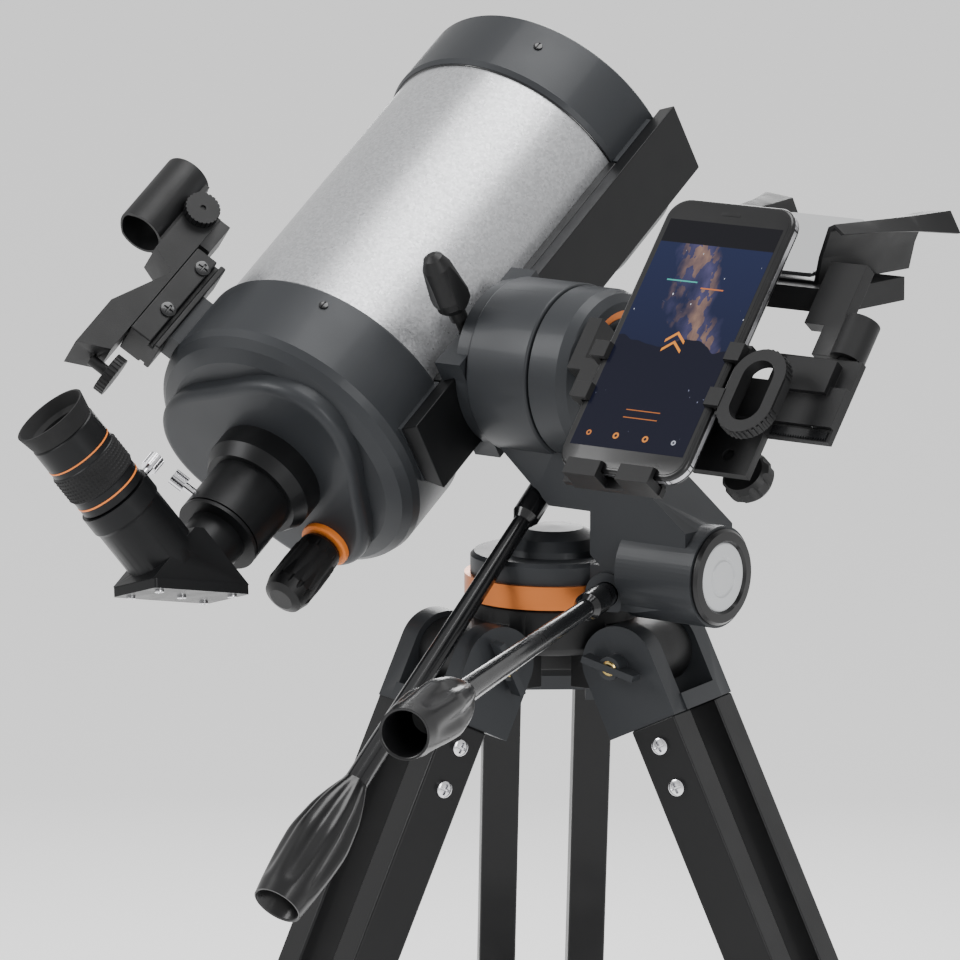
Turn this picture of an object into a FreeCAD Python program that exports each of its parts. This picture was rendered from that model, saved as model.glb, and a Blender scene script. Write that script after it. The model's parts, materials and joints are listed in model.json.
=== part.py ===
import FreeCAD, Part
import math
import os
import Sketcher

# A five-inch Schmidt-Cassegrain telescope on a single-arm alt-azimuth mount and a tripod.
# Millimetres. Z is up from the floor, X runs along the altitude axis towards the phone dock,
# and the tube aims along +Y and up. The origin is under the azimuth axis, on the floor.

Vector = FreeCAD.Vector
Placement = FreeCAD.Placement
Rotation = FreeCAD.Rotation
AXIS_X = Vector(1, 0, 0)
AXIS_Y = Vector(0, 1, 0)
AXIS_Z = Vector(0, 0, 1)

doc = FreeCAD.newDocument("telescope")
sheet = doc.addObject("Spreadsheet::Sheet", "sizes")
nodes = []


# A length that remembers the sheet formula it came from.
class Size:
    def __init__(self, text, value):
        self.text = text
        self.value = float(value)

    def combine(self, other, sign, value, swapped=False):
        right = other.text if isinstance(other, Size) else repr(float(other))
        first, second = (right, self.text) if swapped else (self.text, right)
        return Size("(" + first + " " + sign + " " + second + ")", value)

    def __add__(self, other):
        return self.combine(other, "+", self.value + float(other))

    def __radd__(self, other):
        return self.combine(other, "+", self.value + float(other), True)

    def __sub__(self, other):
        return self.combine(other, "-", self.value - float(other))

    def __rsub__(self, other):
        return self.combine(other, "-", float(other) - self.value, True)

    def __mul__(self, other):
        return self.combine(other, "*", self.value * float(other))

    def __rmul__(self, other):
        return self.combine(other, "*", self.value * float(other), True)

    def __truediv__(self, other):
        return self.combine(other, "/", self.value / float(other))

    def __neg__(self):
        return Size("(0 - " + self.text + ")", -self.value)

    def __float__(self):
        return self.value


def size(alias, value):
    row = str(len(sheet.getUsedCells()) // 2 + 1)
    sheet.set("A" + row, alias)
    sheet.set("B" + row, repr(float(value)))
    sheet.setAlias("B" + row, alias)
    return Size("sizes." + alias, value)


# Clearances and fits
gap = size("gap", 0.4)
turning_fit = size("turning_fit", 0.05)
seam_gap = size("seam_gap", 0.8)

# Axes
axis_height = size("axis_height", 915)
tube_offset = size("tube_offset", 119.5)
tube_aim = size("tube_aim", 33)

# Optical tube, measured from the altitude axis along the tube
tube_radius = size("tube_radius", 74)
tube_wall = size("tube_wall", 1.6)
front_lip = size("front_lip", 182)
front_seam = size("front_seam", 141)
rear_seam = size("rear_seam", 38)
tube_inset = size("tube_inset", 6)
front_cell_radius = size("front_cell_radius", 76.5)
rear_cell_radius = size("rear_cell_radius", 77)
cell_skirt = size("cell_skirt", 40)
cell_back = size("cell_back", 52)
plateau_height = size("plateau_height", 9)
corrector_radius = size("corrector_radius", 66.3)
corrector_thick = size("corrector_thick", 5)
corrector_depth = size("corrector_depth", 10)
secondary_radius = size("secondary_radius", 20)
baffle_radius = size("baffle_radius", 17)
mirror_radius = size("mirror_radius", 66)
mirror_thick = size("mirror_thick", 14)
port_radius = size("port_radius", 30)
port_length = size("port_length", 19)
visual_radius = size("visual_radius", 22.8)
visual_length = size("visual_length", 32)
nose_radius = size("nose_radius", 15.875)
focus_side = size("focus_side", 16)
focus_drop = size("focus_drop", 47.5)
focus_radius = size("focus_radius", 11.5)
focus_length = size("focus_length", 44)

# Diagonal and eyepiece
diagonal_back = size("diagonal_back", 34)
diagonal_turn = size("diagonal_turn", 19.5)
diagonal_wide = size("diagonal_wide", 34)
diagonal_reach = size("diagonal_reach", 19)
holder_top = size("holder_top", 57)
holder_radius = size("holder_radius", 19.7)
eyepiece_radius = size("eyepiece_radius", 18.2)
eyepiece_length = size("eyepiece_length", 44)
eyecup_radius = size("eyecup_radius", 19.8)
eyecup_length = size("eyecup_length", 10)

# Finder
finder_wide = size("finder_wide", 22)
finder_length = size("finder_length", 120)
finder_base_top = size("finder_base_top", 101)
finder_beam_thick = size("finder_beam_thick", 16.5)
sight_radius = size("sight_radius", 13)
sight_length = size("sight_length", 46)

# Dovetail, saddle and altitude head
dovetail_near = size("dovetail_near", 77.5)
dovetail_thick = size("dovetail_thick", 11)
dovetail_narrow = size("dovetail_narrow", 17.5)
dovetail_broad = size("dovetail_broad", 21)
dovetail_rear = size("dovetail_rear", 75)
saddle_half = size("saddle_half", 38)
jaw_half = size("jaw_half", 31)
clamp_place = size("clamp_place", 13)
drum_radius = size("drum_radius", 44)
drum_left = size("drum_left", -22.5)
drum_seam = size("drum_seam", 15.5)
drum_right = size("drum_right", 44)
shaft_radius = size("shaft_radius", 10)
wheel_radius = size("wheel_radius", 34.5)
wheel_wide = size("wheel_wide", 12)
worm_radius = size("worm_radius", 5.6)
worm_distance = size("worm_distance", 41)
worm_housing = size("worm_housing", 11)
cavity_radius = size("cavity_radius", 37)
rod_droop = size("rod_droop", 39.7)
azimuth_rod_heading = size("azimuth_rod_heading", 17.75)
azimuth_rod_droop = size("azimuth_rod_droop", 3)
rod_start = size("rod_start", 38)
rod_length = size("rod_length", 207)
handle_length = size("handle_length", 80)
handle_radius = size("handle_radius", 16.5)

# Arm and azimuth base, heights measured down from the altitude axis
arm_wide = size("arm_wide", 40)
elbow_drop = size("elbow_drop", 96)
elbow_radius = size("elbow_radius", 26)
elbow_reach = size("elbow_reach", 105)
base_drop = size("base_drop", 117)
base_radius = size("base_radius", 43)
base_tall = size("base_tall", 23)
dome_radius = size("dome_radius", 27)
ring_radius = size("ring_radius", 46)
ring_tall = size("ring_tall", 12)

# Phone dock
phone_wide = size("phone_wide", 78)
phone_tall = size("phone_tall", 158)
phone_thick = size("phone_thick", 7.6)
phone_aim = size("phone_aim", 51)
phone_side = size("phone_side", 118)
hood_shift = size("hood_shift", 10)
phone_front = size("phone_front", -52)
phone_rise = size("phone_rise", 32)

# Tripod
leg_splay = size("leg_splay", 25)
leg_heading = size("leg_heading", 10)
pivot_reach = size("pivot_reach", 53)
pivot_drop = size("pivot_drop", 143.5)
rail_wide = size("rail_wide", 19.5)
rail_deep = size("rail_deep", 26)
rail_gap = size("rail_gap", 28)
rail_shift = size("rail_shift", 6.5)
rail_start = size("rail_start", 34)
rail_end = size("rail_end", 440)
lug_half = size("lug_half", 18.3)
cheek_radius = size("cheek_radius", 20)
lower_start = size("lower_start", 250)
spreader_pivot = size("spreader_pivot", 430)
spreader_inset = size("spreader_inset", 16)
spreader_droop = size("spreader_droop", 25)
tray_pin_reach = size("tray_pin_reach", 30)
tray_radius = size("tray_radius", 88)
tray_thick = size("tray_thick", 4)
tray_drop = size("tray_drop", 26)
eyepiece_hole = size("eyepiece_hole", 16.3)
doc.recompute()


def place(frame, x=0, y=0, z=0, turn=None):
    return frame.multiply(Placement(Vector(float(x), float(y), float(z)), turn or Rotation()))


def turned_frame(frame, axis, angle):
    return frame.multiply(Placement(Vector(), Rotation(axis, float(angle))))


def bind(item, **lengths):
    for key, value in lengths.items():
        setattr(item, key, float(value))
        if isinstance(value, Size):
            item.setExpression(key, value.text)
    return item


# Keeps a finished piece under its own label and takes it out of reach of later helpers' names.
def keep(item, label):
    item.Label = label
    nodes.append(item)
    return item


def cylinder(radius, length, frame):
    item = doc.addObject("Part::Cylinder", "rod")
    bind(item, Radius=radius, Height=length)
    item.Placement = frame
    return item


def cone(start, end, length, frame):
    item = doc.addObject("Part::Cone", "cone")
    bind(item, Radius1=start, Radius2=end, Height=length)
    item.Placement = frame
    return item


# A block centred on the frame in x and y, standing on its xy plane.
def block(wide, deep, tall, frame):
    item = doc.addObject("Part::Box", "block")
    bind(item, Length=wide, Width=deep, Height=tall)
    item.Placement = place(frame, -float(wide) / 2, -float(deep) / 2, 0)
    return item


def fuse(*parts):
    item = doc.addObject("Part::MultiFuse", "joined")
    item.Shapes = list(parts)
    item.Refine = True
    return item


def group(*parts):
    item = doc.addObject("Part::Compound", "group")
    item.Links = list(parts)
    return item


def cut(base, *tools):
    item = doc.addObject("Part::Cut", "cut")
    item.Base = base
    item.Tool = tools[0] if len(tools) == 1 else fuse(*tools)
    return item


# Rounds the edges of an item that the test picks out.
def rounded(item, radius, test):
    item.recompute(True)
    chosen = [i + 1 for i, edge in enumerate(item.Shape.Edges) if test(edge)]
    result = doc.addObject("Part::Fillet", "rounded")
    result.Base = item
    result.Edges = [(i, float(radius), float(radius)) for i in chosen]
    return result


# Draws a closed outline of sizes in a sketch on one of the body's planes.
def outline(body, points, plane_role):
    sketch = body.newObject("Sketcher::SketchObject", "outline")
    plane = [f for f in body.Origin.OriginFeatures if f.Role == plane_role][0]
    sketch.AttachmentSupport = (plane, [""])
    sketch.MapMode = "FlatFace"
    flat = [Vector(float(across), float(along), 0) for across, along in points]
    count = len(points)
    for i in range(count):
        sketch.addGeometry(Part.LineSegment(flat[i], flat[(i + 1) % count]), False)
    for i in range(count):
        sketch.addConstraint(Sketcher.Constraint("Coincident", i, 2, (i + 1) % count, 1))
    for i, pair in enumerate(points):
        for kind, value in zip(("DistanceX", "DistanceY"), pair):
            constraint = Sketcher.Constraint(kind, -1, 1, i, 1, float(value))
            number = sketch.addConstraint(constraint)
            if isinstance(value, Size):
                sketch.setExpression("Constraints[" + str(number) + "]", value.text)
    return sketch


# Turns an outline of (radius, along) points about the frame's z axis.
def turned(points, frame):
    body = doc.addObject("PartDesign::Body", "turned")
    sketch = outline(body, points, "XZ_Plane")
    feature = body.newObject("PartDesign::Revolution", "revolution")
    feature.Profile = sketch
    feature.ReferenceAxis = (sketch, ["V_Axis"])
    feature.Angle = 360
    body.Placement = frame
    return body


# Pads an outline of (x, y) points along the frame's z axis.
def padded(points, length, frame):
    body = doc.addObject("PartDesign::Body", "padded")
    sketch = outline(body, points, "XY_Plane")
    feature = body.newObject("PartDesign::Pad", "pad")
    feature.Profile = sketch
    bind(feature, Length=length)
    body.Placement = frame
    return body


def ring(inner, outer, start, end, frame):
    return turned([(inner, start), (outer, start), (outer, end), (inner, end)], frame)


# A ring of equal cutters or teeth round the frame's z axis.
def around(count, make, frame, first=0.0):
    return [make(turned_frame(frame, AXIS_Z, first + i * 360.0 / count)) for i in range(count)]


world = Placement()
axis_point = Vector(0, 0, float(axis_height))
# x across the tube, y up from it, z along it towards the eyepiece end
tube_frame = Placement(Vector(-float(tube_offset), 0, float(axis_height)),
                       Rotation(AXIS_X, 90 + float(tube_aim)))
# z along the altitude axis towards the dock
head_frame = Placement(axis_point, Rotation(AXIS_Y, 90))
# z up, from the altitude axis's height
base_frame = Placement(axis_point, Rotation())


# ---- optical tube ----

cell_end = rear_seam + cell_back
plateau_end = cell_end + plateau_height
port_end = plateau_end + port_length
visual_end = port_end + visual_length


def make_tube():
    start = -front_seam - tube_inset
    end = rear_seam + tube_inset
    keep(ring(tube_radius - tube_wall, tube_radius, start, end, tube_frame), "optical_tube")


def dovetail_pad(start, end):
    depth = dovetail_near - tube_radius - 0.5
    middle = dovetail_near - depth / 2
    return block(depth, dovetail_narrow * 2, end - start, place(tube_frame, middle, 0, start))


def make_front_cell():
    seat = -front_lip + corrector_depth
    back = seat + corrector_thick
    bore = tube_radius - tube_wall
    shell = turned([
        (front_cell_radius - 1.5, -front_lip), (front_cell_radius, -front_lip + 1.5),
        (front_cell_radius, -front_seam - 3), (front_cell_radius - 1.2, -front_seam),
        (tube_radius, -front_seam), (tube_radius, -front_seam - tube_inset),
        (bore, -front_seam - tube_inset), (bore, -front_seam + 4),
        (bore - 3, -front_seam + 4), (bore - 3, back + 5), (corrector_radius - 2.3, back + 5),
        (corrector_radius - 2.3, back), (corrector_radius, back), (corrector_radius, seat - 3),
        (front_cell_radius - 3.5, seat - 3), (front_cell_radius - 3.5, -front_lip)], tube_frame)
    pad = dovetail_pad(-front_lip + 6, -front_seam)
    keep(fuse(shell, pad), "front_cell")
    keep(ring(secondary_radius, corrector_radius, seat, back, tube_frame), "corrector_plate")
    holder = turned([
        (0, seat - 7), (secondary_radius + 2, seat - 7), (secondary_radius + 4, seat - 5),
        (secondary_radius + 4, seat), (secondary_radius, seat), (secondary_radius, back),
        (secondary_radius + 1.5, back), (secondary_radius + 1.5, back + 16),
        (secondary_radius, back + 16), (secondary_radius, back + 7), (0, back + 8)], tube_frame)
    keep(holder, "secondary_mirror")


# The lobed step round the rear port: three soft lobes, 120 degrees apart.
def lobed_step(base, swing, lobe_angle, start, tall, frame):
    points = []
    for i in range(48):
        angle = math.radians(i * 7.5)
        reach = float(base) + float(swing) * math.cos(3 * (angle - math.radians(lobe_angle)))
        points.append(Vector(reach * math.cos(angle), reach * math.sin(angle), float(start)))
    curve = Part.BSplineCurve()
    curve.interpolate(points, PeriodicFlag=True)
    face = Part.Face(Part.Wire([curve.toShape()]))
    solid = face.extrude(Vector(0, 0, float(tall)))
    top = [edge for edge in solid.Edges if edge.BoundBox.ZMin > float(start + tall) - 0.01]
    item = doc.addObject("Part::Feature", "lobed_step")
    item.Shape = solid.makeFillet(5, top)
    item.Placement = frame
    return item


def make_rear_cell():
    wall = 7
    inner = rear_cell_radius - wall
    shell = turned([
        (tube_radius, rear_seam), (rear_cell_radius - 1, rear_seam),
        (rear_cell_radius, rear_seam + 1.5), (rear_cell_radius, rear_seam + cell_skirt),
        (rear_cell_radius - 1.5, rear_seam + cell_skirt + 4.5),
        (rear_cell_radius - 5.5, rear_seam + cell_skirt + 8.5),
        (rear_cell_radius - 13, cell_end), (baffle_radius + 5, cell_end),
        (baffle_radius + 5, cell_end - 8), (inner - 6, cell_end - 8),
        (inner, rear_seam + cell_skirt), (inner, rear_seam + tube_inset),
        (tube_radius, rear_seam + tube_inset)], tube_frame)
    step = lobed_step(60.5, 7.5, 45, cell_end - 4, plateau_height + 4, tube_frame)
    pad = dovetail_pad(rear_seam, dovetail_rear)
    shoe_frame = turned_frame(tube_frame, AXIS_Z, 45)
    shoe = block(17, 10, 32, place(shoe_frame, 0, rear_cell_radius + 0.5,
                                   rear_seam + tube_inset + 1))
    port_hole = cylinder(baffle_radius + 5, 30, place(tube_frame, 0, 0, cell_end - 10))
    focus_hole = cylinder(3.3, 40, place(tube_frame, focus_side, -focus_drop, cell_end - 20))
    casting = cut(fuse(shell, step, pad, shoe), port_hole, focus_hole)
    baffle = turned([
        (baffle_radius - 1.5, -60), (baffle_radius, -60), (baffle_radius, cell_end - 8),
        (baffle_radius + 5, cell_end - 8), (baffle_radius + 5, plateau_end),
        (baffle_radius - 1.5, plateau_end)], tube_frame)
    keep(group(casting, baffle), "rear_cell")


def make_primary():
    mirror_back = rear_seam + 20
    mirror_front = mirror_back - mirror_thick
    sleeve = baffle_radius + 3
    mirror = turned([
        (sleeve, mirror_front + 2.5), (mirror_radius * 0.6, mirror_front + 1.2),
        (mirror_radius, mirror_front - 1), (mirror_radius, mirror_back), (sleeve, mirror_back)],
        tube_frame)
    bore = baffle_radius + turning_fit
    carrier = turned([
        (bore, mirror_front - 8), (sleeve, mirror_front - 8), (sleeve, mirror_back),
        (mirror_radius - 5, mirror_back), (mirror_radius - 5, mirror_back + 4),
        (sleeve + 2, mirror_back + 4), (sleeve + 2, mirror_back + 17),
        (bore, mirror_back + 17)], tube_frame)
    nut_place = place(tube_frame, focus_side, -focus_drop, mirror_back)
    nut = cylinder(6, 18, nut_place)
    thread = cylinder(3.3, 30, place(nut_place, 0, 0, -5))
    keep(group(mirror, cut(fuse(carrier, nut), thread)), "primary_mirror")


def make_focus():
    frame = place(tube_frame, focus_side, -focus_drop, plateau_end + gap)
    grip = turned([
        (0, 4), (focus_radius - 1, 4), (focus_radius, 6), (focus_radius + 0.8, focus_length - 8),
        (focus_radius - 1, focus_length - 2), (focus_radius - 5, focus_length),
        (0, focus_length)], frame)
    flutes = around(12, lambda turn: cylinder(1.5, focus_length,
                                              place(turn, focus_radius + 1.3, 0, 8)), frame)
    screw = cylinder(3, 36.5, place(frame, 0, 0, -32))
    keep(fuse(cut(grip, *flutes), screw), "focus_knob")


def thumbscrew(frame, reach, label):
    stem = cylinder(2, reach, frame)
    head = cylinder(4.4, 8, place(frame, 0, 0, reach - 8))
    flutes = around(12, lambda turn: cylinder(0.55, 10, place(turn, 4.5, 0, reach - 9)), frame)
    return keep(cut(fuse(stem, head), *flutes), label)


def radial_frame(frame, angle, along, start):
    turn = turned_frame(place(frame, 0, 0, along), AXIS_Z, angle)
    return place(turned_frame(turn, AXIS_Y, 90), 0, 0, start)


def make_visual_back():
    bore = nose_radius + turning_fit
    shell = turned([
        (bore, plateau_end), (port_radius, plateau_end), (port_radius, port_end - 7),
        (port_radius - 4, port_end), (visual_radius, port_end), (visual_radius, visual_end - 3),
        (visual_radius - 1, visual_end - 3), (visual_radius - 1, visual_end - 2),
        (visual_radius, visual_end - 2), (visual_radius, visual_end), (bore, visual_end)],
        tube_frame)
    along = visual_end - 12
    hole = cylinder(2.1, 14, radial_frame(tube_frame, 135, along, visual_radius - 10))
    keep(cut(shell, hole), "visual_back")
    thumbscrew(radial_frame(tube_frame, 135, along, nose_radius + 0.6), 20, "visual_back_screw")


# ---- diagonal and eyepiece ----

mirror_centre = visual_end + diagonal_back
diagonal_frame = turned_frame(place(tube_frame, 0, 0, mirror_centre), AXIS_Z, diagonal_turn)
# z up the eyepiece, from the middle of the mirror
eyepiece_frame = turned_frame(diagonal_frame, AXIS_X, -90)


def make_diagonal():
    reach = diagonal_reach
    lip = 5
    side_frame = place(turned_frame(diagonal_frame, AXIS_Y, 90), 0, 0, -diagonal_wide / 2)
    # In the side frame x is towards the tube and y is up the eyepiece.
    wedge = padded([
        (reach, -reach - lip), (reach, reach - 4), (reach - 4, reach),
        (-reach - lip, reach)], diagonal_wide, side_frame)
    slope = turned_frame(diagonal_frame, AXIS_X, 45)
    plate = block(diagonal_wide + 2, 60, 5, place(slope, 0, 0, lip * 0.7071))
    plate = rounded(plate, 2, lambda edge: edge.Length < 5.01)
    plate_cut = block(diagonal_wide + 4, 80, 12, place(slope, 0, 0, lip * 0.7071))
    collar = turned([
        (0, reach - 8), (holder_radius - 2.2, reach - 8), (holder_radius - 1, reach),
        (holder_radius - 1, holder_top - 12), (holder_radius, holder_top - 10),
        (holder_radius, holder_top), (0, holder_top)], eyepiece_frame)
    down = cylinder(nose_radius + turning_fit, 60, place(eyepiece_frame, 0, 0, 24))
    path_up = cylinder(13.5, 60, eyepiece_frame)
    path_out = cylinder(12.8, 60, turned_frame(diagonal_frame, AXIS_X, 180))
    mirror = block(28, 38, 3, place(slope, 0, 0, lip * 0.7071 - 3))
    screw_hole = cylinder(2.1, 14, radial_frame(eyepiece_frame, 90, holder_top - 5,
                                                holder_radius - 10))
    shell = cut(fuse(cut(wedge, plate_cut), collar), down, path_up, path_out, mirror, screw_hole)
    nose = ring(nose_radius - 1.8, nose_radius, -reach - 30, -reach, diagonal_frame)
    glass = block(28, 38, 3, place(slope, 0, 0, lip * 0.7071 - 3))
    keep(group(shell, plate, nose, glass), "diagonal_body")
    thumbscrew(radial_frame(eyepiece_frame, 90, holder_top - 5, nose_radius + 0.6), 18,
               "diagonal_screw")


def make_eyepiece():
    top = holder_top + eyepiece_length
    bore = nose_radius - 1.8
    barrel = ring(bore, nose_radius, holder_top - 30, holder_top + gap, eyepiece_frame)
    body = turned([
        (bore, holder_top + gap), (eyepiece_radius - 0.6, holder_top + gap),
        (eyepiece_radius, holder_top + 1), (eyepiece_radius, holder_top + 10),
        (eyepiece_radius + 0.5, holder_top + 10.5), (eyepiece_radius + 0.5, holder_top + 26),
        (eyepiece_radius, holder_top + 26.5), (eyepiece_radius, top - 1),
        (eyepiece_radius - 1, top), (bore, top)], eyepiece_frame)
    keep(group(barrel, body), "eyepiece_body")
    keep(turned([
        (bore, top), (eyepiece_radius - 0.4, top), (eyepiece_radius + 0.2, top + 3),
        (eyecup_radius, top + eyecup_length), (eyecup_radius - 1.2, top + eyecup_length),
        (eyepiece_radius - 1.6, top + 3.5), (bore, top + 1.5)], eyepiece_frame), "eyecup")
    eye_lens = turned([(0, top - 7), (bore, top - 7), (bore, top - 3), (bore * 0.6, top - 1.8),
                       (0, top - 1.2)], eyepiece_frame)
    field_lens = ring(0.5, bore, holder_top + 6, holder_top + 9, eyepiece_frame)
    keep(group(eye_lens, field_lens), "eyepiece_lenses")


# ---- finder ----

# y out from the tube, z along it to the rear, x towards the side knobs
finder_frame = turned_frame(tube_frame, AXIS_Z, 45)
beam_bottom = finder_base_top + gap
beam_top = beam_bottom + finder_beam_thick


def make_finder():
    shoe_top = rear_cell_radius + 5.5
    base = block(finder_wide, finder_base_top - shoe_top, 64,
                 place(finder_frame, 1, (finder_base_top + shoe_top) / 2, 25))
    groove = block(30, 2.5, 70, place(finder_frame, 4, shoe_top + 4.5, 22))
    key = block(finder_wide - 6, 2.5, 64, place(finder_frame, 0, shoe_top + 4.5, 25))
    post = block(10, gap, 40, place(finder_frame, 0, finder_base_top + gap / 2, 36))
    beam = block(finder_wide, finder_beam_thick, finder_length,
                 place(finder_frame, 0, (beam_bottom + beam_top) / 2, 2))
    toe = block(finder_wide - 1, 12, 20, place(finder_frame, 0, beam_bottom - 0.5, 2))
    toe_clear = block(finder_wide + 20, 12, 60, place(finder_frame, 0, beam_bottom - 6.2, 24))
    keep(fuse(cut(base, groove), key), "finder_base")
    sight_place = place(finder_frame, 0, beam_top + sight_radius - 1, -14)
    sight = cylinder(sight_radius, sight_length, sight_place)
    bore = cylinder(sight_radius - 1.5, 100, place(sight_place, 0, 0, -20))
    slant = block(60, 60, 60, place(turned_frame(place(sight_place, 0, 0, sight_length),
                                                 AXIS_X, -22), 0, 0, 3))
    hood_bottom = block(16, 3, 44, place(finder_frame, 0, beam_top + 0.5, -12))
    rear_cap = block(finder_wide, 40, 30,
                     place(turned_frame(place(finder_frame, 0, beam_top, finder_length - 4),
                                        AXIS_X, 30), 0, 0, 0))
    toe_body = cut(toe, toe_clear)
    knob_frame = place(turned_frame(finder_frame, AXIS_Y, 90), -6, beam_top - 6,
                       finder_wide / 2 + gap)
    knob_hole = cylinder(2 + turning_fit, 8, place(knob_frame, 0, 0, -8))
    wheel_frame = turned_frame(place(finder_frame, 0, beam_bottom - gap, finder_length - 8),
                               AXIS_X, 90)
    wheel_hole = cylinder(3 + turning_fit, 8, place(wheel_frame, 0, 0, -7))
    beam = cut(fuse(beam, toe_body, sight, hood_bottom), bore, slant, rear_cap, knob_hole,
               wheel_hole)
    keep(fuse(beam, post), "finder_beam")
    flutes = around(24, lambda turn: cylinder(0.5, 20, place(turn, 9.4, 0, -0.1)), knob_frame)
    dimple = cylinder(1.6, 5, place(knob_frame, 0, 0, 3.5))
    pin = cylinder(2, 7, place(knob_frame, 0, 0, -6))
    keep(fuse(cut(cylinder(9.4, 4.5, knob_frame), dimple, *flutes), pin), "finder_knob")
    wheel = fuse(cylinder(3, 11, place(wheel_frame, 0, 0, -6)),
                 cylinder(11, 5.5, place(wheel_frame, 0, 0, 4)))
    flutes = around(28, lambda turn: cylinder(0.6, 9, place(turn, 11.1, 0, 3)), wheel_frame)
    keep(cut(wheel, *flutes), "finder_wheel")


# ---- dovetail, saddle and altitude head ----

dovetail_far = dovetail_near + dovetail_thick
flank_slope = (dovetail_broad - dovetail_narrow) / dovetail_thick


def make_dovetail():
    start = -front_lip - 3
    bar = padded([
        (dovetail_near, -dovetail_narrow), (dovetail_far, -dovetail_broad),
        (dovetail_far, dovetail_broad), (dovetail_near, dovetail_narrow)],
        dovetail_rear - start, place(tube_frame, 0, 0, start))
    spacer = block(6, dovetail_narrow * 2, front_seam + rear_seam - 2,
                   place(tube_frame, dovetail_near - 3, 0, -front_seam + 1))
    clear = cylinder(tube_radius + gap, 400, place(tube_frame, 0, 0, -200))
    keep(group(bar, cut(spacer, clear)), "dovetail_bar")


def make_saddle():
    disc_start = -tube_offset + dovetail_far + gap
    disc_end = drum_left - seam_gap
    jaw_near = dovetail_near + 2.5
    jaw_far = tube_offset + disc_end
    jaws = block(jaw_far - jaw_near, jaw_half * 2, saddle_half * 2,
                 place(tube_frame, (jaw_far + jaw_near) / 2, 0, -saddle_half))
    disc = cylinder(drum_radius - 1, disc_end - disc_start, place(head_frame, 0, 0, disc_start))
    groove_far = dovetail_far + gap
    near = dovetail_near + 1
    narrow = dovetail_narrow + flank_slope + gap
    broad = dovetail_broad + flank_slope * gap + gap
    groove = padded([
        (near, -narrow), (groove_far, -broad), (groove_far, broad), (near, narrow)],
        200, place(tube_frame, 0, 0, -100))
    clamp_across = (dovetail_near + dovetail_far) / 2 + 0.5
    clamp_frame = turned_frame(place(tube_frame, clamp_across, 0, clamp_place), AXIS_X, -90)
    stem_hole = cylinder(3 + gap, 60, clamp_frame)
    shell = cut(fuse(jaws, disc), groove, stem_hole)
    keep(shell, "saddle")
    stem_start = dovetail_broad + 1.5
    stem = cylinder(3, 30, place(clamp_frame, 0, 0, stem_start))
    collar = cylinder(4.6, 7, place(clamp_frame, 0, 0, 40))
    grip = turned([
        (0, 47), (7, 47), (10, 51), (10.3, 55), (7.6, 74), (5, 80), (2, 82), (0, 82)],
        clamp_frame)
    flats = around(3, lambda turn: cylinder(14, 40, place(turn, 21.5, 0, 49)), clamp_frame)
    keep(fuse(stem, collar, cut(grip, *flats)), "clamp_knob")


def make_altitude_shaft():
    start = drum_left - seam_gap
    end = drum_right + 9
    shaft = cylinder(shaft_radius, end - start, place(head_frame, 0, 0, start))
    wheel = toothed_wheel(place(head_frame, 0, 0, -wheel_wide / 2))
    keep(fuse(shaft, wheel), "altitude_shaft")


# A worm wheel with rounded gullets between its teeth.
def toothed_wheel(frame):
    rim = ring(shaft_radius, wheel_radius, 0, wheel_wide, frame)
    gullets = around(60, lambda turn: cylinder(1.0, 30, place(turn, wheel_radius + 0.2, 0, -5)),
                     frame)
    return cut(rim, *gullets)


# ---- slow-motion rods ----

# z runs out along the rod, from the point where its worm meets the wheel
altitude_worm_frame = Placement(
    Vector(0, float(worm_distance) * math.sin(math.radians(float(rod_droop))),
           float(axis_height) - float(worm_distance) * math.cos(math.radians(float(rod_droop)))),
    Rotation(AXIS_X, 90 + float(rod_droop)))
worm_height = -base_drop + 11
azimuth_worm_frame = turned_frame(
    place(turned_frame(base_frame, AXIS_Z, azimuth_rod_heading), worm_distance, 0, worm_height),
    AXIS_X, 90 + float(azimuth_rod_droop))


def slow_motion(frame, prefix):
    threads = [ring(worm_radius - 1.2, worm_radius, -10.0 + 4 * i, -8.2 + 4 * i, frame)
               for i in range(5)]
    worm = fuse(cylinder(worm_radius - 1.2, 26, place(frame, 0, 0, -13)), *threads)
    shaft = cylinder(3.5, rod_start, frame)
    socket = turned([
        (0, rod_start), (6.2, rod_start), (6.2, rod_start + 10), (7.2, rod_start + 10),
        (7.2, rod_start + 27), (5, rod_start + 31), (0, rod_start + 31)], frame)
    shank = cone(4.6, 6.2, rod_length - 31, place(frame, 0, 0, rod_start + 31))
    keep(fuse(worm, shaft, socket, shank), prefix + "_rod")
    start = rod_start + rod_length
    grip = turned([
        (0, start), (6.6, start), (9.5, start + 6), (13.5, start + handle_length * 0.25),
        (handle_radius, start + handle_length * 0.48), (handle_radius - 0.6,
                                                        start + handle_length * 0.66),
        (handle_radius - 3.4, start + handle_length), (handle_radius - 5.4,
                                                       start + handle_length),
        (handle_radius - 6, start + handle_length * 0.6), (0, start + handle_length * 0.56)],
        frame)
    scoops = around(6, lambda turn: cylinder(7, handle_length,
                                             place(turn, handle_radius + 5.4, 0, start - 8)),
                    frame)
    keep(cut(grip, *scoops), prefix + "_handle")


# ---- arm and azimuth base ----

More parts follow.
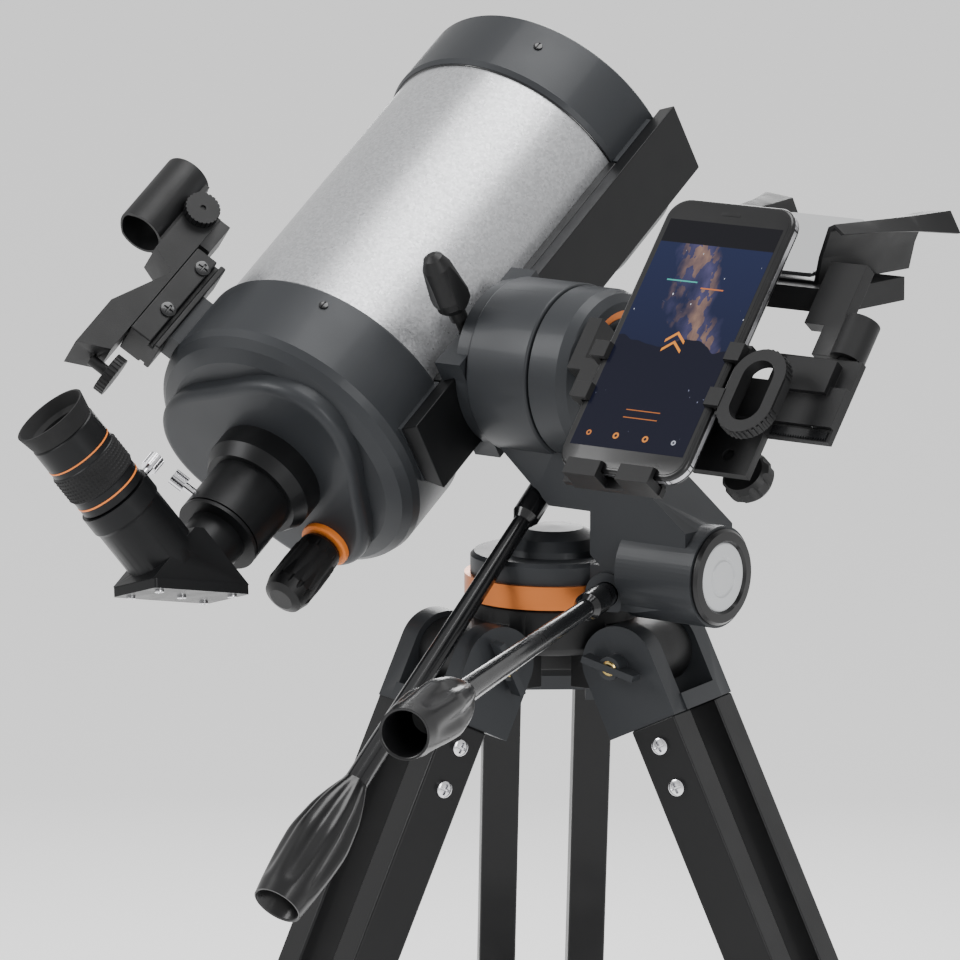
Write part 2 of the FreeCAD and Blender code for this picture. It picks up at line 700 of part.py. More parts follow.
def make_azimuth_base():
    bottom = -base_drop
    top = bottom + base_tall
    shell = turned([
        (cavity_radius, bottom), (base_radius, bottom), (base_radius, top - 2),
        (base_radius - 2, top), (dome_radius + 1, top), (dome_radius, top + 3),
        (dome_radius - 4, top + 8), (dome_radius - 12, top + 12), (0, top + 13), (0, top + 4),
        (shaft_radius + 3, top + 4), (shaft_radius + turning_fit, top + 4),
        (shaft_radius + turning_fit, top - 3), (cavity_radius, top - 3)], base_frame)
    housing = cylinder(worm_housing, rod_start + 14, place(azimuth_worm_frame, 0, 0, -15))
    hollow = cylinder(cavity_radius, base_tall - 3 + 5, place(base_frame, 0, 0, bottom - 5))
    worm_bore = cylinder(worm_radius + 0.9, rod_start + 20, place(azimuth_worm_frame, 0, 0, -14))
    floor_cut = block(200, 200, 20, place(base_frame, 0, 0, bottom - 20))
    item = cut(fuse(shell, housing), hollow, worm_bore, floor_cut)
    return keep(item, "azimuth_housing")


def make_arm(azimuth_housing):
    side = turned_frame(base_frame, AXIS_X, 90)
    bottom = -base_drop + 1
    plate = padded([
        (-20, -22), (drum_right, -31), (76, -55), (elbow_reach - 7, -72),
        (elbow_reach - 7, -88), (elbow_reach - 19, -elbow_drop - 16), (66, bottom),
        (38, bottom), (38, bottom + 22), (44, bottom + 22), (-20, -40)],
        arm_wide, place(side, 0, 0, -arm_wide / 2))
    boss = cylinder(elbow_radius, elbow_reach - 58, place(head_frame, elbow_drop, 0, 58))
    drum = cylinder(drum_radius + 1, drum_seam - drum_left, place(head_frame, 0, 0, drum_left))
    drum = rounded(drum, 1.5, lambda edge: edge.BoundBox.XLength < 0.01)
    housing = cylinder(worm_housing, rod_start + 14, place(altitude_worm_frame, 0, 0, -15))
    cavity = cylinder(cavity_radius, drum_seam - drum_left, place(head_frame, 0, 0,
                                                                  drum_left + 6))
    bore = cylinder(shaft_radius + turning_fit, 40, place(head_frame, 0, 0, drum_left - 5))
    worm_bores = []
    for frame in (altitude_worm_frame, azimuth_worm_frame):
        worm_bores.append(cylinder(worm_radius + 0.9, rod_start + 20, place(frame, 0, 0, -14)))
        worm_bores.append(cylinder(9, 90, place(frame, 0, 0, rod_start - 0.5)))
    cover_room = cylinder(drum_radius, drum_right - drum_seam + 1, place(head_frame, 0, 0,
                                                                        drum_seam))
    solid = fuse(plate, boss, drum, housing)
    base_room = cylinder(base_radius, 60, place(base_frame, 0, 0, -base_drop - 10))
    keep(cut(solid, cavity, bore, cover_room, base_room, azimuth_housing, *worm_bores),
         "arm_casting")


def make_drum_cover():
    start = drum_seam + 0.5
    lip = drum_right - 2
    keep(turned([
        (shaft_radius + turning_fit, start + 6), (cavity_radius, start + 6),
        (cavity_radius, start), (drum_radius - 1, start), (drum_radius, start + 1),
        (drum_radius, lip - 8), (drum_radius - 2, lip - 2.5), (drum_radius - 6, lip + 1),
        (drum_radius - 10, drum_right), (drum_radius - 10, lip - 2), (30, lip - 2),
        (30, drum_right), (shaft_radius + turning_fit, drum_right)], head_frame), "drum_cover")
    accent = ring(30, drum_radius - 10, lip - 2, drum_right - 0.6, head_frame)
    base_ring = ring(base_radius, ring_radius, -base_drop, -base_drop + ring_tall, base_frame)
    arm_room = block(80, arm_wide + 2, 60, place(base_frame, 70, 0, -base_drop - 10))
    worm_room = cylinder(worm_housing + gap, rod_start + 30, place(azimuth_worm_frame, 0, 0, -22))
    keep(group(accent, cut(base_ring, arm_room, worm_room)), "trim_rings")


# ---- phone dock ----

# x to the right, y up the phone, z out of its screen, from the phone's middle
phone_frame = Placement(
    Vector(float(phone_side), float(phone_front), float(axis_height) + float(phone_rise)),
    Rotation(AXIS_X, float(phone_aim)))
half_wide = phone_wide / 2
half_tall = phone_tall / 2
half_thick = phone_thick / 2


def make_phone():
    slab = block(phone_wide, phone_tall, phone_thick, place(phone_frame, 0, 0, -half_thick))
    corner = rounded(slab, 12, lambda edge: abs(edge.Length - float(phone_thick)) < 0.01)
    keep(rounded(corner, 2.2, lambda edge: edge.Length > 15), "phone")


# A hook that reaches round an edge of the phone; x points in over the screen.
def hook(frame, wide):
    return padded([
        (-5, -half_thick - gap - 4), (2, -half_thick - gap - 4), (2, -half_thick - gap),
        (-gap, -half_thick - gap), (-gap, half_thick + gap), (5, half_thick + gap),
        (4, half_thick + 3.5), (-5, half_thick + 3.5)], wide, frame)


def edge_frame(across, along, angle, wide):
    frame = turned_frame(place(phone_frame, across, along, 0), AXIS_Z, angle)
    return place(turned_frame(frame, AXIS_X, 90), 0, 0, -wide / 2)


cradle_back = -half_thick - gap - 4
spine_front = cradle_back - 8


def make_cradle():
    shelf = block(56, 74, 4, place(phone_frame, -8, -46, cradle_back))
    wing = block(30, 34, 4, place(phone_frame, -half_wide + 12, -25, cradle_back))
    left = [hook(edge_frame(-half_wide, along, 0, 9), 9) for along in (-13, -37)]
    bottom = [hook(edge_frame(across, -half_tall, 90, 20), 20) for across in (-19, 13)]
    sill = block(54, 5, 4, place(phone_frame, -3, -half_tall - 2.5, cradle_back))
    keep(fuse(shelf, wing, sill, *left, *bottom), "dock_cradle")


# The spring jaw: two prongs over the screen and an oval finger loop beside them.
def make_jaw():
    tongue = block(16, 16, 3.6, place(phone_frame, half_wide - 8, -25, cradle_back))
    prongs = [hook(edge_frame(half_wide, along, 180, 10), 10) for along in (-6, -32)]
    post = block(5, 40, 10, place(phone_frame, half_wide + 3, -19, cradle_back))
    loop = place(phone_frame, half_wide + 20, -26, half_thick - 4)
    outer = fuse(cylinder(15.5, 7, place(loop, 0, 8, 0)),
                 cylinder(15.5, 7, place(loop, 0, -8, 0)),
                 block(31, 16, 7, loop))
    inner = fuse(cylinder(9, 30, place(loop, 0, 8, -15)),
                 cylinder(9, 30, place(loop, 0, -8, -15)),
                 block(18, 16, 30, place(loop, 0, 0, -15)))
    keep(fuse(cut(outer, inner), post, tongue, *prongs), "dock_jaw")


pin_place = place(phone_frame, 80, 36, spine_front - 10)


def make_bracket():
    hub_end = drum_right + 9
    hub = cylinder(26, 8.5, place(head_frame, 0, 0, drum_right + 0.5))
    bore = cylinder(shaft_radius, 40, place(head_frame, 0, 0, drum_right - 20))
    hub_side = hub_end - phone_side
    riser = block(8.5, 30, 48, place(phone_frame, hub_side - 4.25, 1, spine_front - 48))
    spine = block(95 - hub_side, 22, 7,
                  place(phone_frame, (95 + hub_side) / 2, -18, spine_front - 7))
    seat = block(44, 16, 8, place(phone_frame, 8, -22, spine_front))
    carriage = block(50, 46, 4, place(phone_frame, 70, -13, spine_front - 7))
    pad = block(30, 18, 6, place(phone_frame, 70, -3, spine_front - 3))
    lug = block(34, 44, 5, place(phone_frame, 40, -38, spine_front - 7))
    stop = block(18, 16, 7, place(phone_frame, 80, 4, spine_front - 13))
    pin = cylinder(4.5, 36, turned_frame(place(pin_place, 0, 1.5, 0), AXIS_X, 90))
    knob_hole = cylinder(3.3, 20, place(phone_frame, 42, -50, spine_front - 15))
    keep(cut(fuse(hub, riser, spine, seat, carriage, pad, lug, stop, pin), bore, knob_hole),
         "dock_bracket")
    knob_frame = place(phone_frame, 42, -50, spine_front - 30)
    stem = cylinder(3, 26, knob_frame)
    head = turned([
        (0, 0), (10.5, 0), (12.8, 3), (12.8, 9), (10.5, 12), (0, 12)], knob_frame)
    scallops = around(8, lambda turn: cylinder(3, 20, place(turn, 14.3, 0, -4)), knob_frame)
    keep(fuse(cut(head, *scallops), stem), "dock_knob")


# One slice of the scoop: a floor, two flaring walls and their rolled lips, as a thin strip.
def hood_slice(frame, along, floor_half, top_half, tip_half, tall, drop, wall):
    right = [(floor_half, 0), (floor_half + (top_half - floor_half) * 0.35, tall * 0.5),
             (top_half, tall), (tip_half - 4, tall + 1.5), (tip_half, tall - drop)]
    inner = [(floor_half - wall, wall),
             (floor_half + (top_half - floor_half) * 0.35 - wall, tall * 0.5 + 0.6),
             (top_half - wall * 0.8, tall + wall * 0.9), (tip_half - 4, tall + 1.5 + wall),
             (tip_half + wall, tall - drop + 0.6)]
    outer = [(-x, z) for x, z in reversed(right)] + right
    back = [(x, z) for x, z in reversed(inner)] + [(-x, z) for x, z in inner]
    points = [frame.multVec(Vector(x, along, z)) for x, z in outer + back]
    return Part.makePolygon(points + [points[0]])


# A scoop open at its top and mouth, whose wings roll outwards towards the mouth.
def make_hood():
    frame = place(base_frame, phone_side + hood_shift, 8, 56)
    wall = 2.2
    slices = [(0, 30, 38, 44, 28, 1.5), (28, 30, 38, 46, 27, 2), (54, 31, 40, 53, 27, 4),
              (77, 32, 42, 61, 28, 8)]
    shell = doc.addObject("Part::Feature", "hood_shell")
    shell.Shape = Part.makeLoft([
        hood_slice(frame, along, floor_half, top_half, tip_half, tall, drop, wall)
        for along, floor_half, top_half, tip_half, tall, drop in slices], True, True)
    room = block(58, 90, 30, place(frame, 0, 40, wall))
    keel = block(64, 60, 12, place(frame, 16, 20, -11.5))
    stalk = block(22, 36, 8, place(phone_frame, 60, 48, spine_front - 14))
    barrel_frame = turned_frame(place(pin_place, 0, 0, 0), AXIS_X, 90)
    barrel = cylinder(9, 23, barrel_frame)
    hole = cylinder(4.5 + turning_fit, 60, place(barrel_frame, 0, 0, -10))
    link = block(20, 23, 8, place(phone_frame, 71, 24.5, spine_front - 14))
    stand = cut(fuse(keel, stalk, link, barrel), hole, room)
    keep(fuse(shell, stand), "dock_hood")


# ---- tripod ----

def leg_frame_at(heading):
    angle = math.radians(heading)
    reach = float(pivot_reach)
    pivot = Vector(reach * math.cos(angle), reach * math.sin(angle),
                   float(axis_height - pivot_drop))
    turn = Rotation(AXIS_Z, heading + 90).multiply(Rotation(AXIS_X, 180 - float(leg_splay)))
    return Placement(pivot, turn)


# The same point with its z axis along the pivot, through the middle of the leg.
def pivot_frame(heading):
    angle = math.radians(heading)
    reach = float(pivot_reach)
    pivot = Vector(reach * math.cos(angle), reach * math.sin(angle),
                   float(axis_height - pivot_drop))
    return Placement(pivot, Rotation(AXIS_Z, heading).multiply(Rotation(AXIS_X, 90)))


headings = [float(leg_heading) + 120 * i for i in range(3)]
hub_top = -base_drop - seam_gap
hub_tall = 24
rail_middle = rail_gap / 2 + rail_wide / 2


def make_hub():
    hub_bottom = hub_top - hub_tall
    disc = turned([
        (0, hub_bottom), (base_radius - 4, hub_bottom), (base_radius, hub_bottom + 4),
        (base_radius, hub_top - 1), (base_radius - 1, hub_top), (0, hub_top)], base_frame)
    lugs = []
    rooms = []
    for heading in headings:
        frame = pivot_frame(heading)
        lugs.append(cylinder(17, lug_half * 2, place(frame, 0, 0, -lug_half)))
        lugs.append(block(34, 34, lug_half * 2, place(frame, -17, 0, -lug_half)))
        for side in (1, -1):
            start = lug_half if side > 0 else -lug_half - 20
            rooms.append(cylinder(cheek_radius + 1, 20, place(frame, 0, 0, start)))
        rooms.append(cylinder(4 + turning_fit, 80, place(frame, 0, 0, -40)))
    trim = block(300, 300, 60, place(base_frame, 0, 0, hub_top))
    keep(cut(fuse(disc, *lugs), trim, *rooms), "tripod_hub")
    top = -base_drop + base_tall + 3.5
    pin = cylinder(shaft_radius, top - hub_top, place(base_frame, 0, 0, hub_top))
    wheel = toothed_wheel(place(base_frame, 0, 0, worm_height - wheel_wide / 2))
    foot = cylinder(16, worm_height - wheel_wide / 2 - hub_top, place(base_frame, 0, 0, hub_top))
    keep(fuse(pin, wheel, foot), "azimuth_pivot")


def make_leg(heading, letter):
    frame = leg_frame_at(heading)
    across = turned_frame(frame, AXIS_Y, 90)
    inner = lug_half + gap
    outer = rail_middle + rail_wide / 2 - 1
    cheeks = []
    tongues = []
    for side in (1, -1):
        start = inner if side > 0 else -outer
        cheeks.append(cylinder(cheek_radius, outer - inner, place(across, 0, 0, start)))
        middle = (inner + outer) / 2 * side
        cheeks.append(block(outer - inner, cheek_radius * 2, rail_start,
                            place(frame, middle, 0, 0)))
        tongues.append(block(rail_wide - 4, rail_deep - 4, 46,
                             place(frame, rail_middle * side, rail_shift, rail_start)))
    bridge = block(inner * 2 + 2, rail_deep + 6, 9, place(frame, 0, 5, rail_start - 9))
    pin = cylinder(4, outer * 2 + 8, place(across, 0, 0, -outer - 4))
    nut_start = outer * (1 if letter == "c" else -1)
    turn_out = 90 if letter == "c" else -90
    nut = turned_frame(place(frame, nut_start, 0, 0), AXIS_Y, turn_out)
    boss = cylinder(6, 10, nut)
    wing = block(30, 3.5, 9, place(turned_frame(nut, AXIS_Z, 50), 0, 0, 3))
    keep(fuse(*cheeks, *tongues, bridge, pin, boss, wing), "leg_bracket_" + letter)
    rails = []
    for side in (1, -1):
        at = place(frame, rail_middle * side, rail_shift, rail_start)
        rail = block(rail_wide, rail_deep, rail_end - rail_start, at)
        hollow = block(rail_wide - 4, rail_deep - 4, 600, place(at, 0, 0, -50))
        rails.append(cut(rail, hollow))
    keep(group(*rails), "leg_rails_" + letter)
    lower_wide = rail_gap - 1
    lower_deep = rail_deep - 4
    tube = block(lower_wide, lower_deep, 570, place(frame, 0, rail_shift, lower_start))
    slots = [block(5, lower_deep - 9, 700, place(frame, lower_wide / 2 * side, rail_shift,
                                                 lower_start - 50)) for side in (1, -1)]
    floor = block(2000, 2000, 100, place(world, 0, 0, -100))
    foot_place = place(frame, 0, rail_shift, 815)
    keep(cut(cut(tube, *slots), block(60, 60, 200, foot_place)), "leg_lower_" + letter)
    boot = block(lower_wide + 5, lower_deep + 5, 80, place(foot_place, 0, 0, -8))
    room = cut(block(lower_wide, lower_deep, 8, place(foot_place, 0, 0, -8)),
               *[block(5, lower_deep - 9, 8, place(foot_place, lower_wide / 2 * side, 0, -8))
                 for side in (1, -1)])
    keep(cut(boot, room, floor), "leg_foot_" + letter)
    make_collar(frame, across, lower_wide, lower_deep, letter)


# The collar that ends the rails, guides the lower leg and carries the spreader and lock knob.
def make_collar(frame, across, lower_wide, lower_deep, letter):
    wide = rail_gap + rail_wide * 2 + 7
    body = block(wide, rail_deep + 7, 36, place(frame, 0, rail_shift, rail_end - 15))
    sockets = [block(rail_wide, rail_deep, 60, place(frame, rail_middle * side, rail_shift,
                                                     rail_end - 60)) for side in (1, -1)]
    guide = block(lower_wide + 1, lower_deep + 1, 100, place(frame, 0, rail_shift, rail_end - 50))
    hinge = place(across, -spreader_pivot, -spreader_inset, 0)
    lug = cylinder(8, 26, place(hinge, 0, 0, -13))
    lug_base = block(26, 9, 16, place(frame, 0, -spreader_inset + 4.5, spreader_pivot - 8))
    eye_room = cylinder(8.5, 15, place(hinge, 0, 0, -7.5))
    pin = cylinder(3, 26, place(hinge, 0, 0, -13))
    knob_place = place(across, -rail_end - 11, rail_shift, 0)
    knob_hole = cylinder(3.3, 60, knob_place)
    keep(fuse(cut(fuse(body, lug, lug_base), guide, eye_room, knob_hole, *sockets), pin),
         "leg_collar_" + letter)
    stem_start = rail_gap / 2 + 0.3
    stem = cylinder(3, 34, place(knob_place, 0, 0, stem_start))
    start = wide / 2 + 5
    head = turned([(0, start), (8, start), (11.5, start + 4), (12, start + 15),
                   (10, start + 18), (0, start + 18)], knob_place)
    scallops = around(5, lambda turn: cylinder(5, 30, place(turn, 15, 0, start - 2)), knob_place)
    keep(fuse(stem, cut(head, *scallops)), "leg_knob_" + letter)


# Where a spreader arm is pinned to its collar, in reach and height from the centre line.
def spreader_ends():
    tilt = math.radians(float(leg_splay))
    along = float(spreader_pivot)
    inset = -float(spreader_inset)
    reach = float(pivot_reach) + along * math.sin(tilt) + inset * math.cos(tilt)
    height = float(axis_height - pivot_drop) - along * math.cos(tilt) + inset * math.sin(tilt)
    run = reach - float(tray_pin_reach)
    droop = math.radians(float(spreader_droop))
    return reach, height, run / math.cos(droop), height - run * math.tan(droop)


def make_spreader():
    reach, height, length, tray_height = spreader_ends()
    for heading, letter in zip(headings, "abc"):
        plane = turned_frame(world, AXIS_Z, heading)
        start = place(plane, reach, 0, height)
        # z along the pins, x down the arm towards the tray
        frame = turned_frame(turned_frame(turned_frame(start, AXIS_Z, 180), AXIS_X, 90),
                             AXIS_Z, -float(spreader_droop))
        eyes = [cylinder(7, 14, place(frame, at, 0, -7)) for at in (0, length)]
        web = block(length, 7, 10, place(frame, length / 2, 0, -5))
        holes = [cylinder(3 + turning_fit, 40, place(frame, at, 0, -20)) for at in (0, length)]
        keep(cut(fuse(web, *eyes), *holes), "spreader_arm_" + letter)
    top = tray_height - tray_drop
    at = place(world, 0, 0, top)
    disc = cylinder(tray_radius, tray_thick, place(at, 0, 0, -tray_thick))
    bites = []
    holes = []
    lugs = []
    for heading in headings:
        plane = turned_frame(at, AXIS_Z, heading)
        bites.append(cylinder(70, 40, place(plane, -tray_radius - 46, 0, -20)))
        for side in (24, -24):
            holes.append(cylinder(eyepiece_hole, 20, place(turned_frame(plane, AXIS_Z, side),
                                                           62, 0, -15)))
        for side in (1, -1):
            lugs.append(block(30, 5, tray_drop + 8, place(plane, tray_pin_reach, 11 * side, 0)))
    rib = ring(tray_radius - 3, tray_radius, 0, 4, at)
    keep(fuse(cut(fuse(disc, rib), *bites, *holes), *lugs), "accessory_tray")


make_tube()
make_front_cell()
make_rear_cell()
make_primary()
make_focus()
make_visual_back()
make_diagonal()
make_eyepiece()
make_finder()
make_dovetail()
make_saddle()
make_altitude_shaft()
slow_motion(altitude_worm_frame, "altitude")
slow_motion(azimuth_worm_frame, "azimuth")
make_arm(make_azimuth_base())
make_drum_cover()
make_phone()
make_cradle()
make_jaw()
make_bracket()
make_hood()
make_hub()
for leg_heading_value, leg_letter in zip(headings, "abc"):
    make_leg(leg_heading_value, leg_letter)
make_spreader()

doc.recompute()
failed = [item.Label for item in doc.Objects if "Invalid" in item.State or "Error" in item.State]
for item in nodes:
    if item.Shape.isNull() or not item.Shape.isValid():
        failed.append(item.Label)
if failed:
    raise RuntimeError("pieces that did not build: " + ", ".join(failed))
os.makedirs("parts", exist_ok=True)
for item in nodes:
    item.Shape.exportStep("parts/" + item.Label + ".step")
print(len(nodes), "nodes")
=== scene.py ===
import json
import math

import bmesh
import bpy
import numpy as np
from mathutils import Matrix, Vector

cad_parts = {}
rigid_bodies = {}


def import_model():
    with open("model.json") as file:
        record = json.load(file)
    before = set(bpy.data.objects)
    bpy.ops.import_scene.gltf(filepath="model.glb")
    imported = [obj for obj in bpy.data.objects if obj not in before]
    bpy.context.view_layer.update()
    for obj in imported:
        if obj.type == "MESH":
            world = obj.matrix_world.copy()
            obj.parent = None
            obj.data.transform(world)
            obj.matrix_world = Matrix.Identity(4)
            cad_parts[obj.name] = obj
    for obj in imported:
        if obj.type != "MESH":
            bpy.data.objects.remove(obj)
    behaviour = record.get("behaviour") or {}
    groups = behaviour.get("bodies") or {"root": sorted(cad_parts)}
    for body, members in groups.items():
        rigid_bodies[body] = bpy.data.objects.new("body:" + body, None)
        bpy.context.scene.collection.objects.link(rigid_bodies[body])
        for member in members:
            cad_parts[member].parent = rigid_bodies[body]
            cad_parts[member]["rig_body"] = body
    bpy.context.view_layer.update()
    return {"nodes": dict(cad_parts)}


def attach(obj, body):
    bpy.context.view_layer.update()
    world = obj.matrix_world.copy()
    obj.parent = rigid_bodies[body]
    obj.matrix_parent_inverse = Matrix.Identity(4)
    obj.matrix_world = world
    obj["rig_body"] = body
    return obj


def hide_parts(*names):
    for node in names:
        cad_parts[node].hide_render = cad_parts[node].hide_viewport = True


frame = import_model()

nodes = frame["nodes"]
mm = 0.001
print("frame loaded:", len(nodes), "nodes")


# Places: 4x4 matrices in millimetres, the same ones that the metalwork was drawn in.

def moved(x=0, y=0, z=0):
    return np.array(Matrix.Translation((x, y, z)))


def spun(axis, degrees):
    return np.array(Matrix.Rotation(math.radians(degrees), 4, axis))


axisHeight = 915
tubePlace = moved(-119.5, 0, axisHeight) @ spun("X", 123)          # z runs back along the tube
headPlace = moved(0, 0, axisHeight) @ spun("Y", 90)                # z runs along the altitude axis
phonePlace = moved(118, -52, axisHeight + 32) @ spun("X", 51)      # z comes out of the screen
diagonalPlace = tubePlace @ moved(0, 0, 184) @ spun("Z", 19.5)
eyepiecePlace = diagonalPlace @ spun("X", -90)                     # z runs up the eyepiece
finderPlace = tubePlace @ spun("Z", 45)                            # y points away from the tube
focusPlace = tubePlace @ moved(16, -47.5, 99)
rodPlaces = {                                                      # z runs out along each rod
    "altitude": moved(0, 41 * math.sin(math.radians(39.7)),
                      axisHeight - 41 * math.cos(math.radians(39.7))) @ spun("X", 129.7),
    "azimuth": moved(0, 0, axisHeight) @ spun("Z", 17.75) @ moved(41, 0, -106) @ spun("X", 93)}


def legPlace(heading):
    angle = math.radians(heading)
    pivot = moved(53 * math.cos(angle), 53 * math.sin(angle), axisHeight - 143.5)
    return pivot @ spun("Z", heading + 90) @ spun("X", 155)        # z runs down the leg


camera = {"azimuth": 37.95, "elevation": 10.0, "distance": 3824.5,
          "target": (-48.09, 0.0, 851.96), "lens": 278.5}
studio = {"floorColour": (0.86, 0.86, 0.86, 1), "skyColour": (1.0, 1.0, 1.0, 1),
          "skyStrength": 0.85, "floorHalf": 14.0, "floorGlow": 0.38}


def makeCamera():
    a, e = math.radians(camera["azimuth"]), math.radians(camera["elevation"])
    back = Vector((math.sin(a) * math.cos(e), -math.cos(a) * math.cos(e), math.sin(e)))
    data = bpy.data.cameras.new("camera")
    data.lens = camera["lens"]
    data.sensor_width = 36
    data.clip_end = 60
    seen = bpy.data.objects.new("camera", data)
    seen.location = (Vector(camera["target"]) + back * camera["distance"]) * mm
    seen.rotation_mode = "QUATERNION"
    seen.rotation_quaternion = (-back).to_track_quat("-Z", "Y")
    bpy.context.scene.collection.objects.link(seen)
    bpy.context.scene.camera = seen


def makeLight(name, place, aim, wide, tall, power):
    data = bpy.data.lights.new(name, "AREA")
    data.shape = "RECTANGLE"
    data.size, data.size_y, data.energy = wide, tall, power
    lamp = bpy.data.objects.new(name, data)
    lamp.location = place
    lamp.rotation_mode = "QUATERNION"
    lamp.rotation_quaternion = (Vector(aim) - Vector(place)).to_track_quat("-Z", "Y")
    bpy.context.scene.collection.objects.link(lamp)


def makeStudio():
    world = bpy.data.worlds.new("studio")
    bpy.context.scene.world = world
    world.use_nodes = True
    sky = world.node_tree.nodes["Background"]
    sky.inputs["Color"].default_value = studio["skyColour"]
    sky.inputs["Strength"].default_value = studio["skyStrength"]
    half = studio["floorHalf"]
    mesh = bpy.data.meshes.new("floor")
    mesh.from_pydata([(-half, -half, 0), (half, -half, 0), (half, half, 0), (-half, half, 0)],
                     [], [(0, 1, 2, 3)])
    floor = bpy.data.objects.new("floor", mesh)
    bpy.context.scene.collection.objects.link(floor)
    paper = bpy.data.materials.new("paper")
    paper.use_nodes = True
    shader = paper.node_tree.nodes["Principled BSDF"]
    shader.inputs["Base Color"].default_value = studio["floorColour"]
    shader.inputs["Roughness"].default_value = 0.9
    shader.inputs["Emission Color"].default_value = studio["floorColour"]
    shader.inputs["Emission Strength"].default_value = studio["floorGlow"]
    mesh.materials.append(paper)
    makeLight("keyLight", (-1.6, -2.2, 2.6), (0, 0, 0.85), 1.4, 1.4, 62)
    makeLight("sideLight", (2.6, -1.2, 1.7), (0, 0, 0.85), 0.9, 1.8, 34)
    makeLight("topLight", (0.2, 0.4, 3.0), (0, 0, 0.85), 1.8, 1.2, 46)
    makeLight("rimLight", (-1.6, 2.2, 1.6), (0, 0, 0.9), 1.0, 1.6, 30)


def newFinish(name, colour, metallic, roughness, coat=0.0, coatRoughness=0.1, specular=0.5):
    finish = bpy.data.materials.new(name)
    finish.use_nodes = True
    tree = finish.node_tree
    shader = tree.nodes["Principled BSDF"]
    shader.inputs["Base Color"].default_value = (*colour, 1)
    shader.inputs["Metallic"].default_value = metallic
    shader.inputs["Roughness"].default_value = roughness
    shader.inputs["Coat Weight"].default_value = coat
    shader.inputs["Coat Roughness"].default_value = coatRoughness
    shader.inputs["Specular IOR Level"].default_value = specular
    return finish, tree, shader


def noiseNode(tree, scale, detail, stretch=(1, 1, 1)):
    where = tree.nodes.new("ShaderNodeTexCoord")
    mapping = tree.nodes.new("ShaderNodeMapping")
    mapping.inputs["Scale"].default_value = stretch
    noise = tree.nodes.new("ShaderNodeTexNoise")
    noise.inputs["Scale"].default_value = scale
    noise.inputs["Detail"].default_value = detail
    tree.links.new(where.outputs["Object"], mapping.inputs["Vector"])
    tree.links.new(mapping.outputs["Vector"], noise.inputs["Vector"])
    return noise


def spread(tree, source, low, high, fromLow=0.3, fromHigh=0.7):
    span = tree.nodes.new("ShaderNodeMapRange")
    span.inputs["From Min"].default_value = fromLow
    span.inputs["From Max"].default_value = fromHigh
    span.inputs["To Min"].default_value = low
    span.inputs["To Max"].default_value = high
    tree.links.new(source, span.inputs["Value"])
    return span.outputs["Result"]


def tinted(tree, shader, source, dark, light, fromLow=0.3, fromHigh=0.7):
    ramp = tree.nodes.new("ShaderNodeValToRGB")
    ramp.color_ramp.elements[0].position = fromLow
    ramp.color_ramp.elements[0].color = (*dark, 1)
    ramp.color_ramp.elements[1].position = fromHigh
    ramp.color_ramp.elements[1].color = (*light, 1)
    tree.links.new(source, ramp.inputs["Fac"])
    tree.links.new(ramp.outputs["Color"], shader.inputs["Base Color"])


def bumped(tree, shader, source, strength, distance):
    bump = tree.nodes.new("ShaderNodeBump")
    bump.inputs["Strength"].default_value = strength
    bump.inputs["Distance"].default_value = distance
    tree.links.new(source, bump.inputs["Height"])
    tree.links.new(bump.outputs["Normal"], shader.inputs["Normal"])


# Paint or moulding: a fine grain in the bump, a slow drift in the colour, smudges in the gloss.
def grainyFinish(name, look):
    finish, tree, shader = newFinish(name, look["colour"], look.get("metallic", 0.0),
                                     look["roughness"], look.get("coat", 0.0), 0.1,
                                     look.get("specular", 0.3))
    dark = tuple(c * (1 - look["drift"]) for c in look["colour"])
    light = tuple(min(1.0, c * (1 + look["drift"])) for c in look["colour"])
    slow = noiseNode(tree, look["driftScale"], 3)
    tinted(tree, shader, slow.outputs["Fac"], dark, light)
    smudge = noiseNode(tree, look["smudgeScale"], 4)
    rough = look["roughness"]
    tree.links.new(spread(tree, smudge.outputs["Fac"], rough - look["smudge"],
                          rough + look["smudge"]), shader.inputs["Roughness"])
    grain = noiseNode(tree, look["grainScale"], 2, look.get("stretch", (1, 1, 1)))
    bumped(tree, shader, grain.outputs["Fac"], look["grain"], look.get("grainDepth", 0.0002))
    return finish


